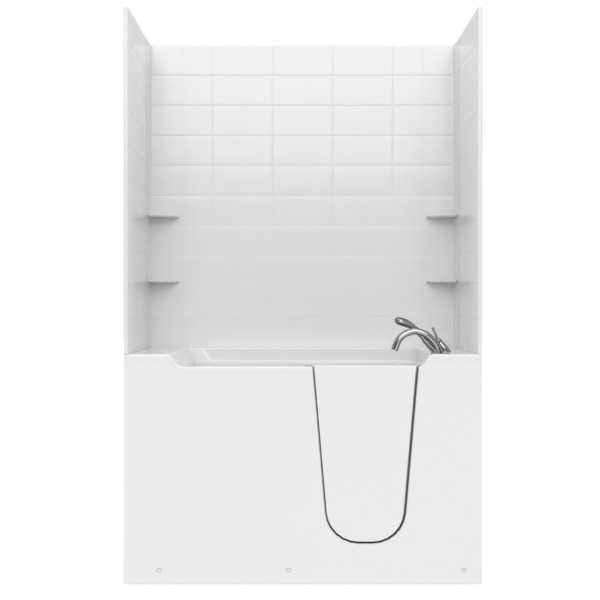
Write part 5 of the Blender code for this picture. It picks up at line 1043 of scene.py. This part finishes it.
def make_overflow():
    """Plate and knob, turned, with a rounded grip bar across the knob."""
    bore, tail = KNOB_STEM + GAP, -SKIN - GAP
    profile = rounded_line([
        (bore, PLATE_THICK), (PLATE_RADIUS - PLATE_BEVEL, PLATE_THICK),
        (PLATE_RADIUS, PLATE_THICK * PLATE_SIDE), (PLATE_RADIUS, 0),
        (OVERFLOW_TAIL, 0), (OVERFLOW_TAIL, tail), (bore, tail)
    ], PLATE_ROUNDS, 6)
    seat = facing_front((DRAIN_X, LOWER_BACK - GAP, OVERFLOW_Z))
    piece("overflow_plate_turned", turned_mesh(profile, seat, ring=True), "chrome", "overflow_plate")

    disc, bevel, stem_end = KNOB_DEEP / 2, KNOB_DEEP / 4, -PLATE_THICK - SKIN
    reach = KNOB_RADIUS - bevel
    profile = rounded_line([
        (0, disc), (reach, disc), (KNOB_RADIUS, bevel), (KNOB_RADIUS, 0),
        (KNOB_STEM, 0), (KNOB_STEM, stem_end), (0, stem_end)
    ], KNOB_ROUNDS, 6)
    seat = facing_front((DRAIN_X, LOWER_BACK - 2 * GAP - PLATE_THICK, OVERFLOW_Z))
    knob = piece("overflow_knob_turned", turned_mesh(profile, seat), "chrome", "overflow_knob", "overflow_knob")
    rings = []
    for cosine, sine in arc(1.0, 7):
        inset = GRIP_BAR_ROUND * (1 - cosine)
        corners = rectangle(GRIP_BAR_HALF - inset, reach - inset)
        outline = rounded_line(corners, [GRIP_BAR_HALF * GRIP_BAR_END - inset] * 4)
        rings.append(at_height(outline, KNOB_DEEP - GRIP_BAR_ROUND * (1 - sine)))
    rings.insert(0, rings[0] * [1, 1, 0] + [0, 0, bevel])
    add(knob, ring_mesh(placed(rings, seat)))
    shaded(knob)


def make_drain():
    """The waste flange and its plug, turned, and the tee under the floor."""
    top, tail = WELL_FLOOR + GAP + FLANGE_HEIGHT, WELL_FLOOR - SKIN - TAIL_LENGTH
    seat = standing((DRAIN_X, DRAIN_Y, 0))
    profile = rounded_line([
        (DRAIN_BORE, top), (FLANGE_RADIUS - FLANGE_HEIGHT, top), (FLANGE_RADIUS, WELL_FLOOR + GAP),
        (TAIL_RADIUS, WELL_FLOOR + GAP), (TAIL_RADIUS, tail), (DRAIN_BORE, tail)
    ], FLANGE_ROUNDS, 5)
    piece("drain_flange_turned", turned_mesh(profile, seat, ring=True), "chrome", "drain_flange")

    profile = [
        (0, -PLUG_STEM_LENGTH), (PLUG_STEM * PLUG_STEM_SHARE, -PLUG_STEM_LENGTH),
        (PLUG_STEM, PLUG_STEM_TIP - PLUG_STEM_LENGTH), (PLUG_STEM, 0), (PLUG_RADIUS - PLUG_UNDER, 0),
        (PLUG_RADIUS, PLUG_EDGE), *dome(PLUG_RADIUS, PLUG_HEIGHT, PLUG_SKIRT, 12, 12)
    ]
    mesh = turned_mesh(profile, standing((DRAIN_X, DRAIN_Y, top + GAP)))
    piece("drain_plug_turned", mesh, "chrome", "drain_plug", "drain_plug")

    top = WELL_FLOOR - SKIN - GAP
    body = turned_mesh(rod(TEE_RADIUS, TEE_BOTTOM, top, TEE_ROUND), seat)
    tee = piece("drain_tee_moulded", body, "pipe", "drain_tee")
    branch_seat = facing_back((DRAIN_X, DRAIN_Y, BRANCH_Z))
    edge = arc(TEE_ROUND, 4) + [BRANCH_RADIUS - TEE_ROUND, BRANCH_LENGTH - TEE_ROUND]
    add(tee, turned_mesh([(0, 0), (BRANCH_RADIUS, 0), *edge, (0, BRANCH_LENGTH)], branch_seat))
    cut(tee, turned_mesh(rod(TAIL_RADIUS + GAP, TEE_BOTTOM - PAST, top + PAST), seat))
    cut(tee, turned_mesh(rod(PIPE_RADIUS + GAP, 0, BRANCH_LENGTH + PAST), branch_seat))
    shaded(tee)


def make_pipe():
    """The overflow pipe: a round section down the back of the basin and forward to the tee, bored through."""
    start_y, down_y = LOWER_BACK + SKIN + GAP, LOWER_BACK + SKIN + PIPE_OFF_WALL
    end_y, top = DRAIN_Y + TEE_RADIUS + GAP, OVERFLOW_Z + PIPE_RADIUS

    def run_mesh(radius, top, end_y):
        bend = rounded_line([(down_y, top), (down_y, BRANCH_Z), (end_y, BRANCH_Z)], (0, PIPE_BEND, 0), 16)
        path = np.insert(bend, 0, DRAIN_X, axis=1)
        path = np.insert(path, 1, (path[0] + path[1]) / 2, axis=0)
        return ring_mesh(swept_rings(path, radius, (1, 0, 0))[0])

    pipe = piece("overflow_pipe_moulded", run_mesh(PIPE_RADIUS, top, end_y), "pipe", "overflow_pipe")
    seat = facing_back((DRAIN_X, start_y, OVERFLOW_Z))
    bore, length = PIPE_RADIUS - PIPE_WALL, down_y - start_y
    add(pipe, turned_mesh(rod(bore, 0, length), seat))
    cut(pipe, run_mesh(bore, top - PIPE_WALL, end_y - PAST))
    cut(pipe, turned_mesh(rod(bore - PIPE_WALL, -PAST, length), seat))
    shaded(pipe, 40)


# Fixings and feet

def make_panel_screws():
    """Pan-headed screws: a domed head, a shank, and a cross cut into the head."""
    for side, x in SCREWS.items():
        name = "panel_screw_" + side
        seat = facing_front((x, FRONT + RECESS_DEEP - GAP, SCREW_Z))
        profile = [
            (0, -SCREW_LENGTH), (SCREW_RADIUS, SCREW_RADIUS - SCREW_LENGTH), (SCREW_RADIUS, 0), (SCREW_HEAD, 0),
            *dome(SCREW_HEAD, SCREW_HEAD_HEIGHT, SCREW_SKIRT, 10, 5)
        ]
        screw = piece(name + "_turned", turned_mesh(profile, seat, 40), "enamel", name, slot="steel")
        ends = ((CROSS_TAPER, SCREW_HEAD_HEIGHT - CROSS_DEEP), (1, SCREW_HEAD_HEIGHT + CROSS_PAST))
        for bar in (rectangle(CROSS_LONG, CROSS_THIN), rectangle(CROSS_THIN, CROSS_LONG)):
            cut(screw, ring_mesh(placed([at_height(bar * size, height) for size, height in ends], seat)))
        shaded(screw, 30)


def make_foot(name, x, y):
    """A levelling foot: a moulded pad with a shouldered neck, and a threaded stud with a lock nut on it. The
    thread's profile steps up by half a pitch at a time, between its root and its crest."""
    seat = standing((x, y, 0))
    neck = FOOT_PAD + FOOT_NECK
    pad = rounded_line([
        (0, 0), (FOOT_RADIUS, 0), (FOOT_RADIUS, FOOT_PAD), (FOOT_NECK, FOOT_PAD + FOOT_SHOULDER),
        (FOOT_STUD + FOOT_COLLAR, neck), (0, neck)
    ], FOOT_ROUNDS, 5)
    piece(name + "_pad", turned_mesh(pad, seat, 48), "black_plastic", name)
    low, high, nut_top = neck - STUD_SUNK, RAIL_LOW + STUD_ABOVE, RAIL_LOW - GAP
    step = np.arange(2 * int((high - low) / THREAD_PITCH))
    thread = columns(FOOT_STUD - THREAD_DEEP * (1 - step % 2), low + THREAD_PITCH * step / 2)
    stud = turned_mesh([(0, low), *thread, (FOOT_STUD - STUD_CHAMFER, high), (0, high)], seat, 32)
    nut = turned_mesh(rod(NUT_RADIUS, nut_top - NUT_TALL, nut_top, NUT_ROUND, 2), seat, 6)
    piece(name + "_stud", joined_mesh([stud, nut]), "zinc")


make_camera()
make_light()
make_floor()
make_back_tiles()
for side, sign in (("left", -1), ("right", 1)):
    make_side_tiles(side, sign)
    make_corner_column(side, sign)
    for level, rise in SHELF_RISES.items():
        make_shelf(side, sign, level, rise)
make_tub()
make_spout()
make_holder()
make_handset()
make_valve()
make_overflow()
make_drain()
make_pipe()
make_panel_screws()
for side, y in FEET_Y.items():
    for place, x in FEET_X.items():
        make_foot("foot_" + side + "_" + place, x, y)
for slot, width, nodes in PLAIN_WORK:
    for node in nodes.split():
        softened(node, slot, width)
